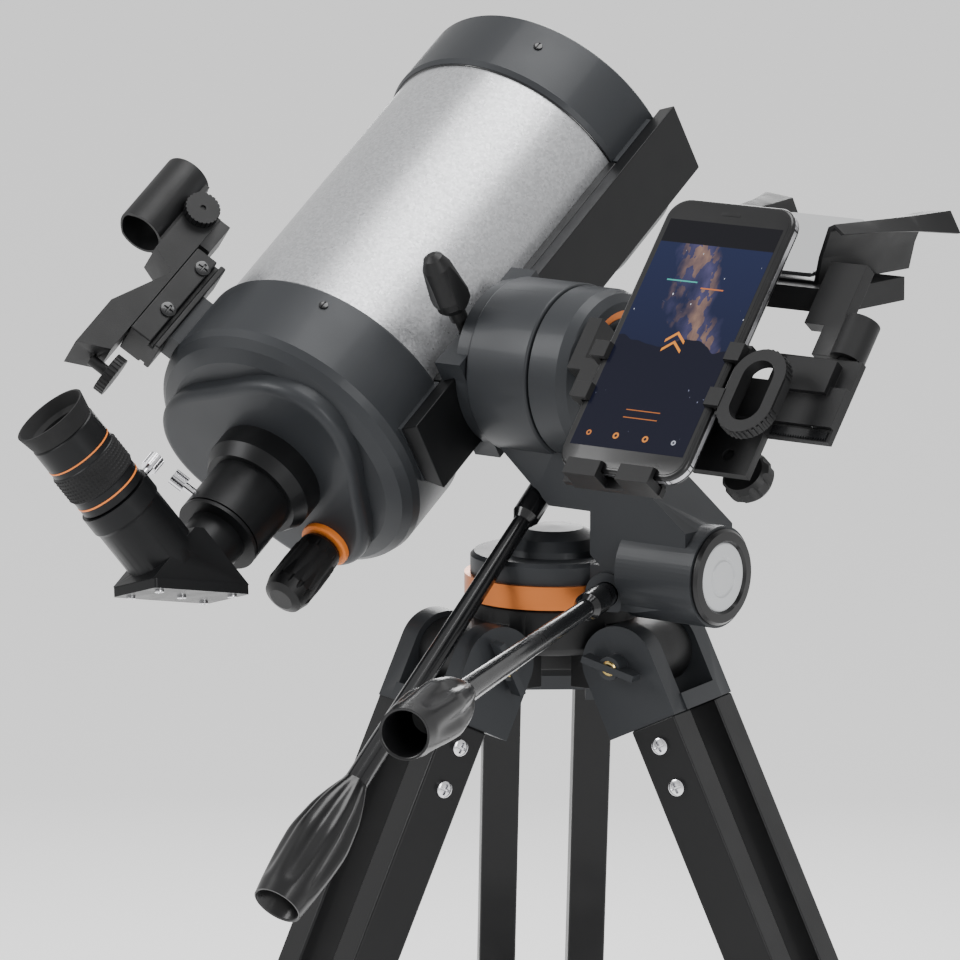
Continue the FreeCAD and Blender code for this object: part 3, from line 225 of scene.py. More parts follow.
finishLooks = {
    "charcoalEnamel": {"colour": (0.0225, 0.0245, 0.0275), "metallic": 0.2, "roughness": 0.46,
                       "coat": 0.06, "drift": 0.1, "driftScale": 9, "smudge": 0.05,
                       "smudgeScale": 26, "grainScale": 1500, "grain": 0.16},
    "blackEnamel": {"colour": (0.006, 0.0062, 0.007), "metallic": 0.2, "roughness": 0.25,
                    "coat": 0.5, "drift": 0.1, "driftScale": 12, "smudge": 0.05,
                    "smudgeScale": 40, "grainScale": 700, "grain": 0.05},
    "anodised": {"colour": (0.0075, 0.0078, 0.0085), "metallic": 0.4, "roughness": 0.38,
                 "drift": 0.12, "driftScale": 14, "smudge": 0.05, "smudgeScale": 60,
                 "grainScale": 2200, "grain": 0.1},
    "blackMoulding": {"colour": (0.0055, 0.0056, 0.006), "metallic": 0.0, "roughness": 0.47,
                      "drift": 0.14, "driftScale": 18, "smudge": 0.06, "smudgeScale": 50,
                      "grainScale": 1700, "grain": 0.28},
    "legEnamel": {"colour": (0.005, 0.0051, 0.0056), "metallic": 0.25, "roughness": 0.4,
                  "coat": 0.1, "drift": 0.12, "driftScale": 10, "smudge": 0.06,
                  "smudgeScale": 34, "grainScale": 1300, "grain": 0.2},
    "glossBlack": {"colour": (0.004, 0.004, 0.0045), "metallic": 0.0, "roughness": 0.3,
                   "coat": 0.12, "specular": 0.35, "drift": 0.1, "driftScale": 20, "smudge": 0.03,
                   "smudgeScale": 60, "grainScale": 300, "grain": 0.02},
    "rubber": {"colour": (0.008, 0.008, 0.0085), "roughness": 0.72, "drift": 0.15,
               "driftScale": 30, "smudge": 0.08, "smudgeScale": 90, "grainScale": 1900,
               "grain": 0.35},
    "copperTrim": {"colour": (0.56, 0.17, 0.045), "metallic": 0.85, "roughness": 0.34,
                   "drift": 0.1, "driftScale": 16, "smudge": 0.05, "smudgeScale": 70,
                   "grainScale": 500, "grain": 0.1, "stretch": (1, 1, 9)},
    "orangeMark": {"colour": (0.75, 0.2, 0.03), "roughness": 0.45, "drift": 0.08,
                   "driftScale": 30, "smudge": 0.05, "smudgeScale": 60, "grainScale": 900,
                   "grain": 0.08},
    "chrome": {"colour": (0.72, 0.72, 0.74), "metallic": 1.0, "roughness": 0.16, "drift": 0.04,
               "driftScale": 60, "smudge": 0.05, "smudgeScale": 140, "grainScale": 900,
               "grain": 0.04},
    "turnedSteel": {"colour": (0.52, 0.52, 0.54), "metallic": 1.0, "roughness": 0.3,
                    "drift": 0.06, "driftScale": 40, "smudge": 0.06, "smudgeScale": 90,
                    "grainScale": 800, "grain": 0.1},
    "brass": {"colour": (0.62, 0.45, 0.16), "metallic": 1.0, "roughness": 0.28, "drift": 0.08,
              "driftScale": 60, "smudge": 0.06, "smudgeScale": 90, "grainScale": 900,
              "grain": 0.08},
    "paleGrey": {"colour": (0.48, 0.49, 0.5), "roughness": 0.4, "coat": 0.2, "drift": 0.04,
                 "driftScale": 24, "smudge": 0.04, "smudgeScale": 60, "grainScale": 1500,
                 "grain": 0.06},
}
silverLook = {"dark": (0.37, 0.375, 0.385), "light": (0.5, 0.505, 0.52), "roughness": 0.33,
              "flakeScale": 900, "ripple": 0.22}


# Metallic enamel with flake: small cells of different brightness under a soft orange-peel ripple.
def silverFinish():
    finish, tree, shader = newFinish("silverEnamel", silverLook["light"], 0.72,
                                     silverLook["roughness"], 0.25, 0.2)
    where = tree.nodes.new("ShaderNodeTexCoord")
    flake = tree.nodes.new("ShaderNodeTexVoronoi")
    flake.inputs["Scale"].default_value = silverLook["flakeScale"]
    tree.links.new(where.outputs["Object"], flake.inputs["Vector"])
    tone = tree.nodes.new("ShaderNodeSeparateColor")
    tree.links.new(flake.outputs["Color"], tone.inputs["Color"])
    tinted(tree, shader, tone.outputs["Red"], silverLook["dark"], silverLook["light"], 0.0, 1.0)
    tree.links.new(spread(tree, tone.outputs["Green"], 0.27, 0.4, 0, 1),
                   shader.inputs["Roughness"])
    ripple = noiseNode(tree, 260, 3)
    bumped(tree, shader, ripple.outputs["Fac"], silverLook["ripple"], 0.0003)
    return finish


def glassFinish():
    finish, tree, shader = newFinish("coatedGlass", (0.8, 0.88, 0.9), 0.0, 0.03)
    shader.inputs["Transmission Weight"].default_value = 0.92
    shader.inputs["IOR"].default_value = 1.5
    shader.inputs["Coat Weight"].default_value = 0.6
    dust = noiseNode(tree, 320, 5)
    tree.links.new(spread(tree, dust.outputs["Fac"], 0.015, 0.06), shader.inputs["Roughness"])
    return finish


def mirrorFinish():
    finish, tree, shader = newFinish("mirrorCoat", (0.9, 0.91, 0.92), 1.0, 0.02)
    dust = noiseNode(tree, 500, 5)
    tree.links.new(spread(tree, dust.outputs["Fac"], 0.012, 0.05), shader.inputs["Roughness"])
    return finish


# The lit screen: u runs across and v up the glass. A star field, a warm galactic band, a dark
# hill line, a map bar and a few plain icons, with no letters.
def screenFinish():
    finish, tree, shader = newFinish("litScreen", (0.002, 0.002, 0.003), 0.0, 0.2, 0.0, 0.03, 0.12)
    links, make = tree.links, tree.nodes.new
    spot = make("ShaderNodeUVMap")
    spot.uv_map = "screen"
    axes = make("ShaderNodeSeparateXYZ")
    links.new(spot.outputs["UV"], axes.inputs["Vector"])
    u, v = axes.outputs["X"], axes.outputs["Y"]

    def calc(kind, first, second=None, clamp=False):
        node = make("ShaderNodeMath")
        node.operation = kind
        node.use_clamp = clamp
        for slot, value in enumerate((first, second)):
            if value is None:
                continue
            if isinstance(value, (int, float)):
                node.inputs[slot].default_value = value
            else:
                links.new(value, node.inputs[slot])
        return node.outputs[0]

    def between(value, low, high):
        return calc("MULTIPLY", calc("GREATER_THAN", value, low), calc("LESS_THAN", value, high))

    def mix(amount, first, second):
        node = make("ShaderNodeMix")
        node.data_type = "RGBA"
        links.new(amount, node.inputs["Factor"])
        for slot, value in ((6, first), (7, second)):
            if isinstance(value, tuple):
                node.inputs[slot].default_value = (*value, 1)
            else:
                links.new(value, node.inputs[slot])
        return node.outputs[2]

    def cloud(scale, detail):
        node = make("ShaderNodeTexNoise")
        node.inputs["Scale"].default_value = scale
        node.inputs["Detail"].default_value = detail
        links.new(spot.outputs["UV"], node.inputs["Vector"])
        return node.outputs["Fac"]

    glow = calc("ADD", calc("MULTIPLY", u, 0.55), calc("MULTIPLY", v, 0.35))
    wander = calc("MULTIPLY", calc("SUBTRACT", cloud(5, 5), 0.5), 0.35)
    band = calc("SUBTRACT", 1.0, calc("MULTIPLY", calc("ABSOLUTE", calc(
        "SUBTRACT", calc("ADD", glow, wander), 0.53)), 8.5), True)
    sky = mix(v, (0.006, 0.008, 0.025), (0.016, 0.024, 0.075))
    warm = mix(calc("GREATER_THAN", cloud(9, 4), 0.52), (0.14, 0.12, 0.26), (0.5, 0.3, 0.2))
    sky = mix(calc("MULTIPLY", band, cloud(14, 6)), sky, warm)
    stars = make("ShaderNodeTexVoronoi")
    stars.inputs["Scale"].default_value = 26
    links.new(spot.outputs["UV"], stars.inputs["Vector"])
    tone = make("ShaderNodeSeparateColor")
    links.new(stars.outputs["Color"], tone.inputs["Color"])
    star = calc("LESS_THAN", stars.outputs["Distance"],
                calc("MULTIPLY", calc("POWER", tone.outputs["Red"], 3.0), 0.13))
    sky = mix(star, sky, (0.85, 0.88, 1.0))
    hill = calc("ADD", 0.47, calc("MULTIPLY", calc("SUBTRACT", cloud(3.2, 2), 0.5), 0.14))
    ground = calc("LESS_THAN", v, hill)
    sky = mix(ground, sky, (0.007, 0.008, 0.02))
    low = calc("MULTIPLY", star, calc("LESS_THAN", v, 0.36))
    sky = mix(calc("MULTIPLY", low, calc("GREATER_THAN", cloud(4, 2), 0.5)), sky,
              (0.25, 0.27, 0.4))
    chevron = calc("ABSOLUTE", calc("SUBTRACT", u, 0.5))
    for middle in (0.475, 0.515):
        rise = calc("ABSOLUTE", calc("SUBTRACT", calc("ADD", v, calc("MULTIPLY", chevron, 0.45)),
                                     middle))
        mark = calc("MULTIPLY", calc("LESS_THAN", rise, 0.007), calc("LESS_THAN", chevron, 0.085))
        sky = mix(mark, sky, (0.95, 0.33, 0.04))
    lines = ((0.2, 0.47, 0.735, 0.741, (0.08, 0.5, 0.42)),
             (0.52, 0.72, 0.712, 0.718, (0.65, 0.2, 0.06)),
             (0.35, 0.65, 0.135, 0.139, (0.55, 0.17, 0.04)),
             (0.35, 0.65, 0.168, 0.172, (0.55, 0.17, 0.04)))
    for left, right, low, high, colour in lines:
        mark = calc("MULTIPLY", between(u, left, right), between(v, low, high))
        sky = mix(mark, sky, colour)
    sky = mix(calc("GREATER_THAN", v, 0.9), sky, (0.008, 0.008, 0.01))
    icons = ((0.12, 0.022, (0.6, 0.2, 0.05)), (0.36, 0.026, (0.8, 0.28, 0.05)),
             (0.62, 0.026, (0.8, 0.28, 0.05)), (0.87, 0.02, (0.5, 0.52, 0.6)))
    for middle, wide, colour in icons:
        across = calc("SUBTRACT", u, middle)
        up = calc("MULTIPLY", calc("SUBTRACT", v, 0.055), 1.9)
        reach = calc("SQRT", calc("ADD", calc("MULTIPLY", across, across),
                                  calc("MULTIPLY", up, up)))
        sky = mix(between(reach, wide * 0.45, wide), sky, colour)
    links.new(sky, shader.inputs["Emission Color"])
    shader.inputs["Emission Strength"].default_value = 1.1
    return finish


finishes = {name: grainyFinish(name, look) for name, look in finishLooks.items()}
finishes["silver"] = silverFinish()
finishes["glass"] = glassFinish()
finishes["mirror"] = mirrorFinish()
finishes["screen"] = screenFinish()
print("finishes made:", len(finishes))


def addPiece(name, mesh, body, finish, smooth=35):
    mesh.materials.clear()
    mesh.materials.append(finishes[finish])
    piece = bpy.data.objects.new(name, mesh)
    bpy.context.scene.collection.objects.link(piece)
    mesh.shade_smooth()
    mesh.set_sharp_from_angle(angle=math.radians(smooth))
    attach(piece, body)
    return piece


# Quads of a grid of rows by columns, closed round the columns.
def gridFaces(rows, columns, start=0):
    row = np.arange(rows - 1)[:, None] * columns
    column = np.arange(columns)[None, :]
    after = (column + 1) % columns
    quads = np.stack([row + column, row + after, row + columns + after, row + columns + column], -1)
    return (quads.reshape(-1, 4) + start).tolist()


def placed(points, place):
    flat = points.reshape(-1, 3)
    return (flat @ place[:3, :3].T + place[:3, 3]) * mm


# A profile of (radius, along) pairs turned about z; relief(angle, along, radius) adds to radius.
def turnedMesh(name, profile, place, segments=96, relief=None):
    outline = np.array(profile, float)
    angle = np.linspace(0, 2 * math.pi, segments, endpoint=False)[None, :]
    radius = outline[:, :1] + np.zeros_like(angle)
    along = outline[:, 1:] + np.zeros_like(angle)
    if relief:
        radius = radius + relief(angle, along, radius)
    points = np.stack([radius * np.cos(angle), radius * np.sin(angle), along], -1)
    faces = gridFaces(len(outline), segments)
    closed = np.allclose(outline[0], outline[-1])
    mesh = bpy.data.meshes.new(name)
    if not closed:
        faces.append(list(range(segments))[::-1])
        faces.append(list(range((len(outline) - 1) * segments, len(outline) * segments)))
    mesh.from_pydata(placed(points, place).tolist(), [], faces)
    tidyMesh(mesh)
    return mesh


# Merges doubled points and turns every face outwards.
def tidyMesh(mesh):
    work = bmesh.new()
    work.from_mesh(mesh)
    bmesh.ops.remove_doubles(work, verts=work.verts, dist=1e-6)
    bmesh.ops.recalc_face_normals(work, faces=work.faces)
    work.to_mesh(mesh)
    work.free()
    mesh.update()


# Several copies of one polar height field: screw heads whose recess is a cross, a slot or a hex.
def screwHeads(name, radius, tall, recess, places):
    rings, spokes = 15, 48
    share = np.concatenate([np.linspace(0.02, 0.86, rings - 4), [0.94, 0.985, 1.0, 1.0]])[:, None]
    angle = np.linspace(0, 2 * math.pi, spokes, endpoint=False)[None, :]
    x, y = share * np.cos(angle) * radius, share * np.sin(angle) * radius
    height = tall * np.sqrt(np.clip(1 - 0.45 * share ** 4, 0, 1)) + 0 * angle
    ax, ay = np.abs(x), np.abs(y)
    if recess == "cross":
        arm = np.minimum(ax, ay) < radius * 0.13
        sunk = arm & (np.maximum(ax, ay) < radius * 0.62)
    elif recess == "slot":
        sunk = (ay < radius * 0.14) & (share < 0.95)
    else:
        sunk = np.maximum(ax, (ax + ay * math.sqrt(3)) / 2) < radius * 0.45
    height = np.where(sunk, height - tall * 0.62, height)
    height[-1] = 0
    points = np.stack([x, y, height], -1)
    vertices, faces = [], []
    for place in places:
        start = len(vertices)
        vertices += placed(points, place).tolist()
        faces += gridFaces(rings, spokes, start)
        faces.append([start + i for i in range(spokes)][::-1])
        faces.append([start + (rings - 1) * spokes + i for i in range(spokes)])
    mesh = bpy.data.meshes.new(name)
    mesh.from_pydata(vertices, [], faces)
    tidyMesh(mesh)
    return mesh


# An outline (N x 2) lifted through (height, inset) levels, each pulled in along its own normals.
def plateMesh(name, outline, levels, place):
    shape = np.array(outline, float)
    ahead = np.roll(shape, -1, 0) - shape
    behind = shape - np.roll(shape, 1, 0)
    tangent = ahead / np.linalg.norm(ahead, axis=1, keepdims=True)
    tangent = tangent + behind / np.linalg.norm(behind, axis=1, keepdims=True)
    tangent /= np.linalg.norm(tangent, axis=1, keepdims=True)
    inward = np.stack([-tangent[:, 1], tangent[:, 0]], -1)
    rows = [np.column_stack([shape + inward * inset, np.full(len(shape), height)])
            for height, inset in levels]
    faces = gridFaces(len(levels), len(shape))
    faces.append(list(range(len(shape)))[::-1])
    faces.append(list(range((len(levels) - 1) * len(shape), len(levels) * len(shape))))
    mesh = bpy.data.meshes.new(name)
    mesh.from_pydata(placed(np.array(rows), place).tolist(), [], faces)
    tidyMesh(mesh)
    return mesh


def roundedOutline(halfWide, halfTall, corner, steps=8):
    turn = np.linspace(0, math.pi / 2, steps)
    parts = []
    for i, (sx, sy) in enumerate(((1, 1), (-1, 1), (-1, -1), (1, -1))):
        middle = np.array([sx * (halfWide - corner), sy * (halfTall - corner)])
        angle = turn + i * math.pi / 2
        parts.append(middle + corner * np.stack([np.cos(angle), np.sin(angle)], -1))
    return np.concatenate(parts)


# Softened castings: each node's edge radius, finish and slot.
softEdges = {
    "arm_casting": (2.2, "charcoalEnamel", "black_cell"),
    "saddle": (1.2, "charcoalEnamel", "black_cell"),
    "finder_base": (0.8, "blackMoulding", "black_plastic"),
    "finder_beam": (0.8, "blackMoulding", "black_plastic"),
    "dock_bracket": (0.9, "blackMoulding", "black_plastic"),
    "dock_cradle": (0.7, "blackMoulding", "black_plastic"),
    "dock_jaw": (0.9, "blackMoulding", "black_plastic"),
    "dock_hood": (0.6, "blackMoulding", "black_plastic"),
    "tripod_hub": (1.2, "blackMoulding", "black_plastic"),
    "dovetail_bar": (0.7, "anodised", "anodised"),
    "diagonal_body": (0.7, "anodised", "anodised"),
    "accessory_tray": (0.6, "blackMoulding", "black_plastic"),
}
for legLetter in "abc":
    softEdges["leg_bracket_" + legLetter] = (1.6, "charcoalEnamel", "black_plastic")
    softEdges["leg_collar_" + legLetter] = (2.0, "blackMoulding", "black_plastic")
    softEdges["leg_rails_" + legLetter] = (1.8, "legEnamel", "anodised")
    softEdges["leg_lower_" + legLetter] = (1.2, "legEnamel", "anodised")
    softEdges["leg_foot_" + legLetter] = (1.5, "rubber", "rubber")
    softEdges["spreader_arm_" + legLetter] = (0.8, "blackEnamel", "black_steel")


# A merged copy of a node with its hard edges rounded.
def softened(name, width, finish):
    node = nodes[name]
    mesh = node.data.copy()
    work = bmesh.new()
    work.from_mesh(mesh)
    bmesh.ops.remove_doubles(work, verts=work.verts, dist=2e-6)
    flat = math.radians(0.6)
    bmesh.ops.dissolve_limit(work, angle_limit=flat, verts=work.verts, edges=work.edges)
    work.to_mesh(mesh)
    work.free()
    piece = addPiece(name + "_soft", mesh, node["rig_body"], finish, 32)
    bevel = piece.modifiers.new("edges", "BEVEL")
    bevel.width = width * mm
    bevel.segments = 2
    bevel.limit_method = "ANGLE"
    bevel.angle_limit = math.radians(38)
    bevel.use_clamp_overlap = True
    bevel.harden_normals = True
    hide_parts(name)


def softenCastings():
    for name, (width, finish, slot) in softEdges.items():
        softened(name, width, finish)
    print("castings softened:", len(softEdges))


nodeFinishes = {
    "silver": ["optical_tube"],
    "charcoalEnamel": ["front_cell", "rear_cell", "drum_cover", "azimuth_housing"],
    "anodised": ["visual_back", "eyepiece_body"],
    "copperTrim": ["trim_rings"],
    "blackMoulding": ["finder_wheel", "finder_knob", "clamp_knob", "dock_knob", "focus_knob",
                      "secondary_mirror", "leg_knob_a", "leg_knob_b", "leg_knob_c"],
    "glossBlack": ["phone"],
    "blackEnamel": ["altitude_rod", "azimuth_rod"],
    "chrome": ["visual_back_screw", "diagonal_screw"],
    "turnedSteel": ["altitude_shaft", "azimuth_pivot"],
    "rubber": ["eyecup"],
    "glass": ["corrector_plate", "eyepiece_lenses"],
    "mirror": ["primary_mirror"],
}


def finishNodes():
    for finish, names in nodeFinishes.items():
        for name in names:
            mesh = nodes[name].data
            for slot in range(max(1, len(mesh.materials))):
                if mesh.materials:
                    mesh.materials[slot] = finishes[finish]
                else:
                    mesh.materials.append(finishes[finish])
            mesh.shade_smooth()
            mesh.set_sharp_from_angle(angle=math.radians(30))
    print("nodes finished")


tubeTrim = {"retainerInner": 62.5, "retainerOuter": 72.6, "retainerScrews": 6,
            "screwAngles": (66, 156, 246, 336), "screwBelts": ((-166, 76.4), (47, 76.9)),
            "beads": (-141.05, 38.0)}


# A place on the side of a round body, with z pointing out of it.
def outFrom(place, angle, along, radius):
    return place @ moved(0, 0, along) @ spun("Z", angle) @ moved(radius, 0, 0) @ spun("Y", 90)


def makeTubeDetails():
    inner, outer = tubeTrim["retainerInner"], tubeTrim["retainerOuter"]
    ring = [(inner, -172.1), (inner, -174.2), (inner + 0.8, -175), (outer - 0.8, -175),
            (outer, -174.2), (outer, -172.1), (inner, -172.1)]
    addPiece("retainer_ring", turnedMesh("retainer_ring", ring, tubePlace, 128), "telescope",
             "blackMoulding")
    middle = (inner + outer) / 2
    count = tubeTrim["retainerScrews"]
    heads = [tubePlace @ spun("Z", i * 360 / count + 30) @ moved(middle, 0, -175)
             @ spun("X", 180) for i in range(count)]
    heads += [tubePlace @ spun("Z", i * 120 + 90) @ moved(13, 0, -179) @ spun("X", 180)
              for i in range(3)]
    addPiece("front_screws", screwHeads("front_screws", 2.1, 1.0, "cross", heads), "telescope",
             "chrome")
    sides = [outFrom(tubePlace, angle, along, radius) for along, radius in tubeTrim["screwBelts"]
             for angle in tubeTrim["screwAngles"]]
    addPiece("cell_screws", screwHeads("cell_screws", 2.4, 1.0, "slot", sides), "telescope",
             "blackEnamel")
    hoop = [(20.2, -179), (18.4, -180.2), (6, -180.6), (5.4, -180.2), (5.4, -179.1), (20.2, -179)]
    addPiece("secondary_cover", turnedMesh("secondary_cover", hoop, tubePlace, 96), "telescope",
             "glossBlack")
    for number, at in enumerate(tubeTrim["beads"]):
        bead = [(74.05, at - 0.5), (74.6, at - 0.4), (74.8, at), (74.6, at + 0.4),
                (74.05, at + 0.5), (74.05, at - 0.5)]
        name = "tube_bead_" + str(number + 1)
        addPiece(name, turnedMesh(name, bead, tubePlace, 160), "telescope", "blackEnamel")


focusTrim = {"inner": 5.2, "outer": 13.4, "tall": 3.4}


def makeFocusRing():
    inner, outer, tall = focusTrim["inner"], focusTrim["outer"], focusTrim["tall"]
    ring = [(inner, 0), (outer, 0), (outer + 0.2, 0.8), (outer, tall - 0.8), (outer - 1, tall),
            (inner + 0.4, tall), (inner, tall - 0.4), (inner, 0)]
    addPiece("focus_ring", turnedMesh("focus_ring", ring, focusPlace, 96), "telescope",
             "orangeMark")
    rib = [(11.9, 12), (12.3, 13), (12.6, 24), (12.4, 33), (11.8, 34.5)]
    flute = turnedMesh("focus_grip", [(11.3, 12)] + rib + [(11.3, 34.5), (11.3, 12)], focusPlace,
                       144, lambda angle, along, radius: np.where(
                           radius > 11.5, 0.35 * np.cos(12 * angle) - 0.3, 0))
    addPiece("focus_grip", flute, "focus_knob", "rubber")


eyepieceTrim = {"gripLow": 67.8, "gripHigh": 82.8, "gripRadius": 18.75, "studs": 54, "rows": 7,
                "studTall": 0.62, "bandRadius": 18.25, "bands": ((62.6, 0.45), (86.9, 0.4))}


# The grip is a sleeve with rows of small rounded studs, made from two clipped cosines.
def makeEyepieceGrip():
    low, high = eyepieceTrim["gripLow"], eyepieceTrim["gripHigh"]
    base = eyepieceTrim["gripRadius"]
    along = np.linspace(low, high, eyepieceTrim["rows"] * 8 + 1)
    profile = [(base - 0.4, low)] + [(base, z) for z in along]
    profile += [(base - 0.4, high), (base - 0.4, low)]
    pitch = (high - low) / eyepieceTrim["rows"]

    def studs(angle, along, radius):
        across = np.clip(np.cos(angle * eyepieceTrim["studs"]), 0, 1)
        up = np.clip(-np.cos(2 * math.pi * (along - low) / pitch), 0, 1)
        return np.where(radius > base - 0.1, eyepieceTrim["studTall"] * np.sqrt(across * up), 0)

    mesh = turnedMesh("eyepiece_grip", profile, eyepiecePlace, eyepieceTrim["studs"] * 6, studs)
    addPiece("eyepiece_grip", mesh, "eyepiece", "rubber", 60)
    for number, (middle, half) in enumerate(eyepieceTrim["bands"]):
        name = "eyepiece_band_" + str(number + 1)
        radius = eyepieceTrim["bandRadius"]
        band = [(radius - 0.2, middle - half), (radius + 0.1, middle - half),
                (radius + 0.12, middle), (radius + 0.1, middle + half),
                (radius - 0.2, middle + half), (radius - 0.2, middle - half)]
        addPiece(name, turnedMesh(name, band, eyepiecePlace, 96), "eyepiece", "orangeMark")


handleLook = {"start": 245, "long": 80, "widest": 16.4, "flutes": 6, "depth": 2.6}


# A fluted pear shape with a hollow end: the flutes are raised cosines that fade at both ends.
def makeHandles():
    start, long = handleLook["start"], handleLook["long"]
    widest = handleLook["widest"]
    share = np.linspace(0.0, 1.0, 41)
    knots = [0, 0.04, 0.1, 0.25, 0.48, 0.66, 0.85, 1.0]
    radii = [6.4, 7.4, 9.6, 13.4, widest, widest - 0.6, widest - 2.0, widest - 3.6]
    outer = np.interp(share, knots, radii)
    outer[2:-2] = np.convolve(outer, np.ones(5) / 5, "valid")
    profile = [(0.3, start)] + list(zip(outer, start + share * long))
    end = start + long
    profile += [(widest - 4.4, end + 0.1), (widest - 5.2, end - 0.6),
                (widest - 6.4, end - 30), (widest - 8, end - 33), (0.3, end - 34)]

    def flutes(angle, along, radius):
        along = (along - start) / long
        fade = np.clip(np.sin(math.pi * np.clip(along * 1.12, 0, 1)), 0, 1) ** 0.7
        lobe = (0.5 + 0.5 * np.cos(handleLook["flutes"] * angle)) ** 1.6
        outside = radius > np.interp(along, knots, radii) - 1.2
        return np.where(outside, -handleLook["depth"] * fade * lobe, 0)

    for side in ("altitude", "azimuth"):
        name = side + "_grip"
        mesh = turnedMesh(name, profile, rodPlaces[side], 144, flutes)
        addPiece(name, mesh, side + "_slow_motion", "glossBlack", 50)
        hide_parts(side + "_handle")


def makeHardware():
    slope = diagonalPlace @ spun("X", 45)
    plate = [slope @ moved(x, y, 8.5) for x, y in ((-12, -23), (12, -23), (-12, 23), (12, 23),
                                                    (0, 0))]
    addPiece("diagonal_plate_screws", screwHeads("diagonal_plate_screws", 2.4, 1.6, "cross", plate),
             "diagonal", "chrome")
    side = finderPlace @ spun("Y", 90)
    rails = [side @ moved(-along, 92, 12) for along in (34, 67)]
    addPiece("finder_screws", screwHeads("finder_screws", 4.2, 1.1, "cross", rails), "telescope",
             "blackEnamel")
    for letter, heading in zip("abc", (10, 130, 250)):
        leg = legPlace(heading)
        heads = []
        for turn, sign in ((90, 1), (-90, -1)):
            for down in (46, 68.5):
                heads.append(leg @ moved(33.5 * sign, 6.5, down) @ spun("Y", turn))
        name = "leg_screws_" + letter
        addPiece(name, screwHeads(name, 4.3, 2.6, "cross", heads), "leg_" + letter, "chrome")
        sign = 1 if letter == "c" else -1
        core = leg @ moved(sign * 41.9, 0, 0) @ spun("Y", 90 * sign)
        cap = [(0.4, -1.2), (3.9, -1.2), (3.9, 0.6), (3.3, 1.2), (2.4, 1.2), (2.2, 0.5), (0.4, 0.3)]
        name = "wing_nut_core_" + letter
        addPiece(name, turnedMesh(name, cap, core, 48), "leg_" + letter, "brass")
    dock = [phonePlace @ moved(84, -25, -19.2)]
    addPiece("dock_screw", screwHeads("dock_screw", 4.4, 1.6, "cross", dock), "altitude_head",
             "blackEnamel")
    print("hardware made")


elbowDisc = {"reach": 105, "drop": 96, "rim": 24.5, "face": 17.5}


def makeElbowDisc():
    place = headPlace @ moved(elbowDisc["drop"], 0, elbowDisc["reach"])
    rim, face = elbowDisc["rim"], elbowDisc["face"]
    ring = [(face + 0.1, 0), (rim, 0), (rim, 1.2), (rim - 1.4, 2.8), (face + 1.2, 3.0),
            (face + 0.1, 1.6), (face + 0.1, 0)]
    addPiece("elbow_rim", turnedMesh("elbow_rim", ring, place, 128), "azimuth_base",
             "glossBlack")
    disc = [(0.3, 2.0), (face * 0.46, 2.0), (face * 0.5, 1.3), (face * 0.56, 1.3),
            (face * 0.6, 2.0), (face - 0.6, 1.9), (face, 1.4), (face, 0.1), (0.3, 0.1)]
    addPiece("elbow_disc", turnedMesh("elbow_disc", disc[::-1], place, 128), "azimuth_base",
             "paleGrey")


phoneLook = {"halfWide": 39, "halfTall": 79, "front": 3.8, "screenWide": 34.5,
             "screenTall": 66}


def makePhoneFace():
    front = phoneLook["front"]
    outline = roundedOutline(phoneLook["halfWide"] - 2.4, phoneLook["halfTall"] - 2.4, 10)
    levels = [(front - 0.3, 0), (front + 0.12, 0), (front + 0.2, 0.4)]
    addPiece("phone_glass", plateMesh("phone_glass", outline, levels, phonePlace), "phone",
             "glossBlack")
    wide, tall = phoneLook["screenWide"], phoneLook["screenTall"]
    across, up = np.meshgrid(np.linspace(-wide, wide, 9), np.linspace(-tall, tall, 17))
    points = np.stack([across, up, np.full_like(up, front + 0.26)], -1)
    row = np.arange(16)[:, None] * 9
    column = np.arange(8)[None, :]
    quads = np.stack([row + column, row + column + 1, row + column + 10, row + column + 9], -1)
    mesh = bpy.data.meshes.new("phone_screen")
    mesh.from_pydata(placed(points, phonePlace).tolist(), [], quads.reshape(-1, 4).tolist())
    layer = mesh.uv_layers.new(name="screen")
    spot = np.zeros(len(mesh.loops), np.int32)
    mesh.loops.foreach_get("vertex_index", spot)
    grid = np.stack([(across + wide) / (2 * wide), (up + tall) / (2 * tall)], -1).reshape(-1, 2)
    layer.data.foreach_set("uv", grid[spot].ravel())
    addPiece("phone_screen", mesh, "phone", "screen")
    slot = plateMesh("phone_earpiece", roundedOutline(6, 0.9, 0.85),
                     [(front + 0.1, 0), (front + 0.3, 0), (front + 0.34, 0.15)],
                     phonePlace @ moved(0, 71.5, 0))
    addPiece("phone_earpiece", slot, "phone", "rubber")
    edge = roundedOutline(phoneLook["halfWide"] + 0.05, phoneLook["halfTall"] + 0.05, 12)
    rail = plateMesh("phone_rail", edge, [(-1.5, 0.5), (-1.2, 0), (1.2, 0), (1.5, 0.5)],
                     phonePlace)
    addPiece("phone_rail", rail, "phone", "turnedSteel")


dockDetail = {"loopRadius": 15.5, "loopHalf": 8, "loopRibs": 34, "ribTall": 0.7,
              "scaleFrom": 60, "scaleTo": 93, "scaleTeeth": 22}


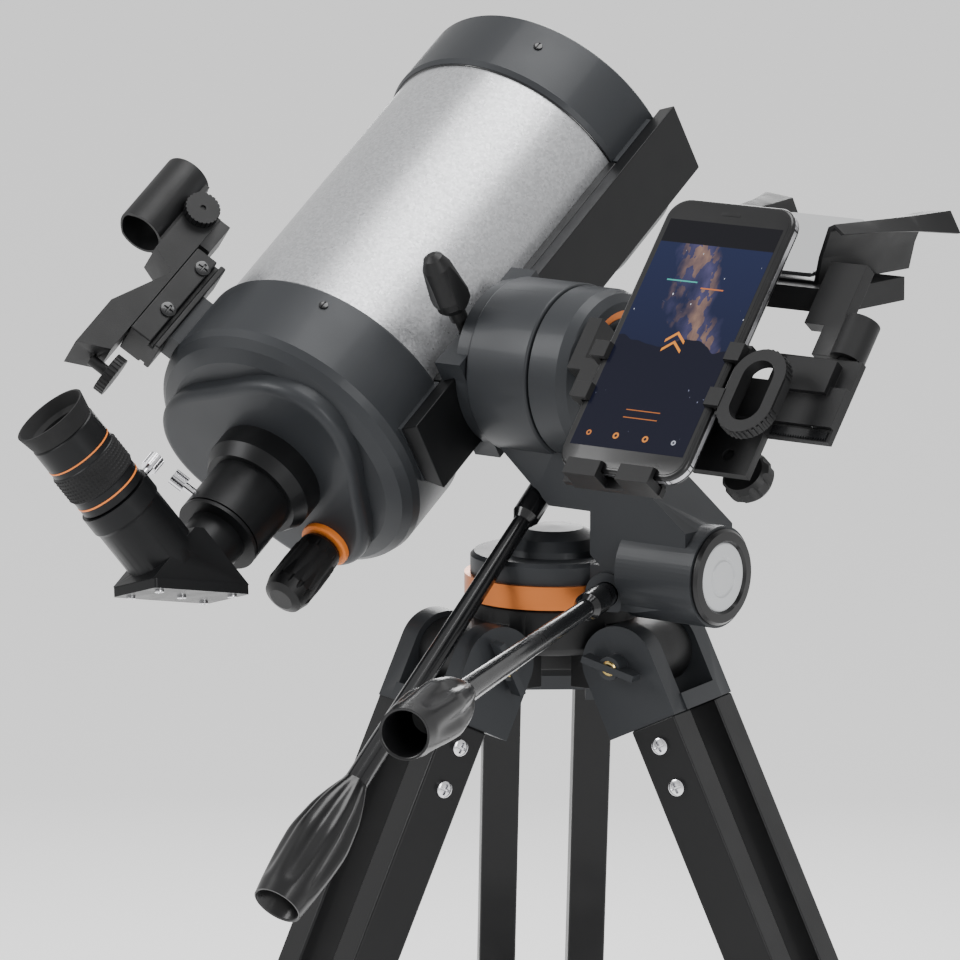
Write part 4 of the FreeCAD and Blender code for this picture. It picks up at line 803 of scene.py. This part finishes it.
# The finger loop's ribs: a band round its oval edge whose reach is a clipped cosine of the
# distance round; the scale: a strip whose lower edge is a sawtooth.
def makeDockDetails():
    count = 408
    angle = np.linspace(0, 2 * math.pi, count, endpoint=False)
    side = np.stack([np.cos(angle), np.sin(angle)], -1)
    middle = np.stack([np.zeros(count), np.sign(side[:, 1]) * dockDetail["loopHalf"]], -1)
    rib = np.clip(2.5 * np.cos(angle * dockDetail["loopRibs"]), 0, 1)[:, None]
    root = dockDetail["loopRadius"] - 0.5
    reach = dockDetail["loopRadius"] + dockDetail["ribTall"] * rib
    rows = []
    for radius, height in ((root, 0.6), (reach, 0.6), (reach, 6.0), (root, 6.0), (root, 0.6)):
        rows.append(np.column_stack([middle + side * radius, np.full(count, height - 0.2)]))
    mesh = bpy.data.meshes.new("loop_ribs")
    mesh.from_pydata(placed(np.array(rows), phonePlace @ moved(59, -26, 0)).tolist(), [],
                     gridFaces(5, count))
    tidyMesh(mesh)
    addPiece("loop_ribs", mesh, "dock_jaw", "blackMoulding", 30)
    teeth = dockDetail["scaleTeeth"] * 2 + 1
    across = np.linspace(dockDetail["scaleFrom"], dockDetail["scaleTo"], teeth)
    down = np.where(np.arange(teeth) % 2 == 0, -35.6, -34.2)
    outline = np.concatenate([np.column_stack([across, down]),
                              [[dockDetail["scaleTo"], -30.5], [dockDetail["scaleFrom"], -30.5]]])
    addPiece("dock_scale", plateMesh("dock_scale", outline, [(-19.6, 0), (-18.3, 0)], phonePlace),
             "altitude_head", "blackEnamel", 20)


hoodMirror = {"halfWide": 24, "halfTall": 26}


def makeHoodMirror():
    place = moved(128, 36, axisHeight + 71) @ spun("X", 205)
    outline = roundedOutline(hoodMirror["halfWide"], hoodMirror["halfTall"], 3)
    levels = [(-1.2, 0.3), (-0.9, 0), (0.9, 0), (1.2, 0.3)]
    addPiece("hood_mirror", plateMesh("hood_mirror", outline, levels, place), "dock_hood",
             "mirror")


makeCamera()
makeStudio()
softenCastings()
finishNodes()
makeTubeDetails()
makeFocusRing()
makeEyepieceGrip()
makeHandles()
makeHardware()
makeElbowDisc()
makePhoneFace()
makeDockDetails()
makeHoodMirror()
print("pieces made")
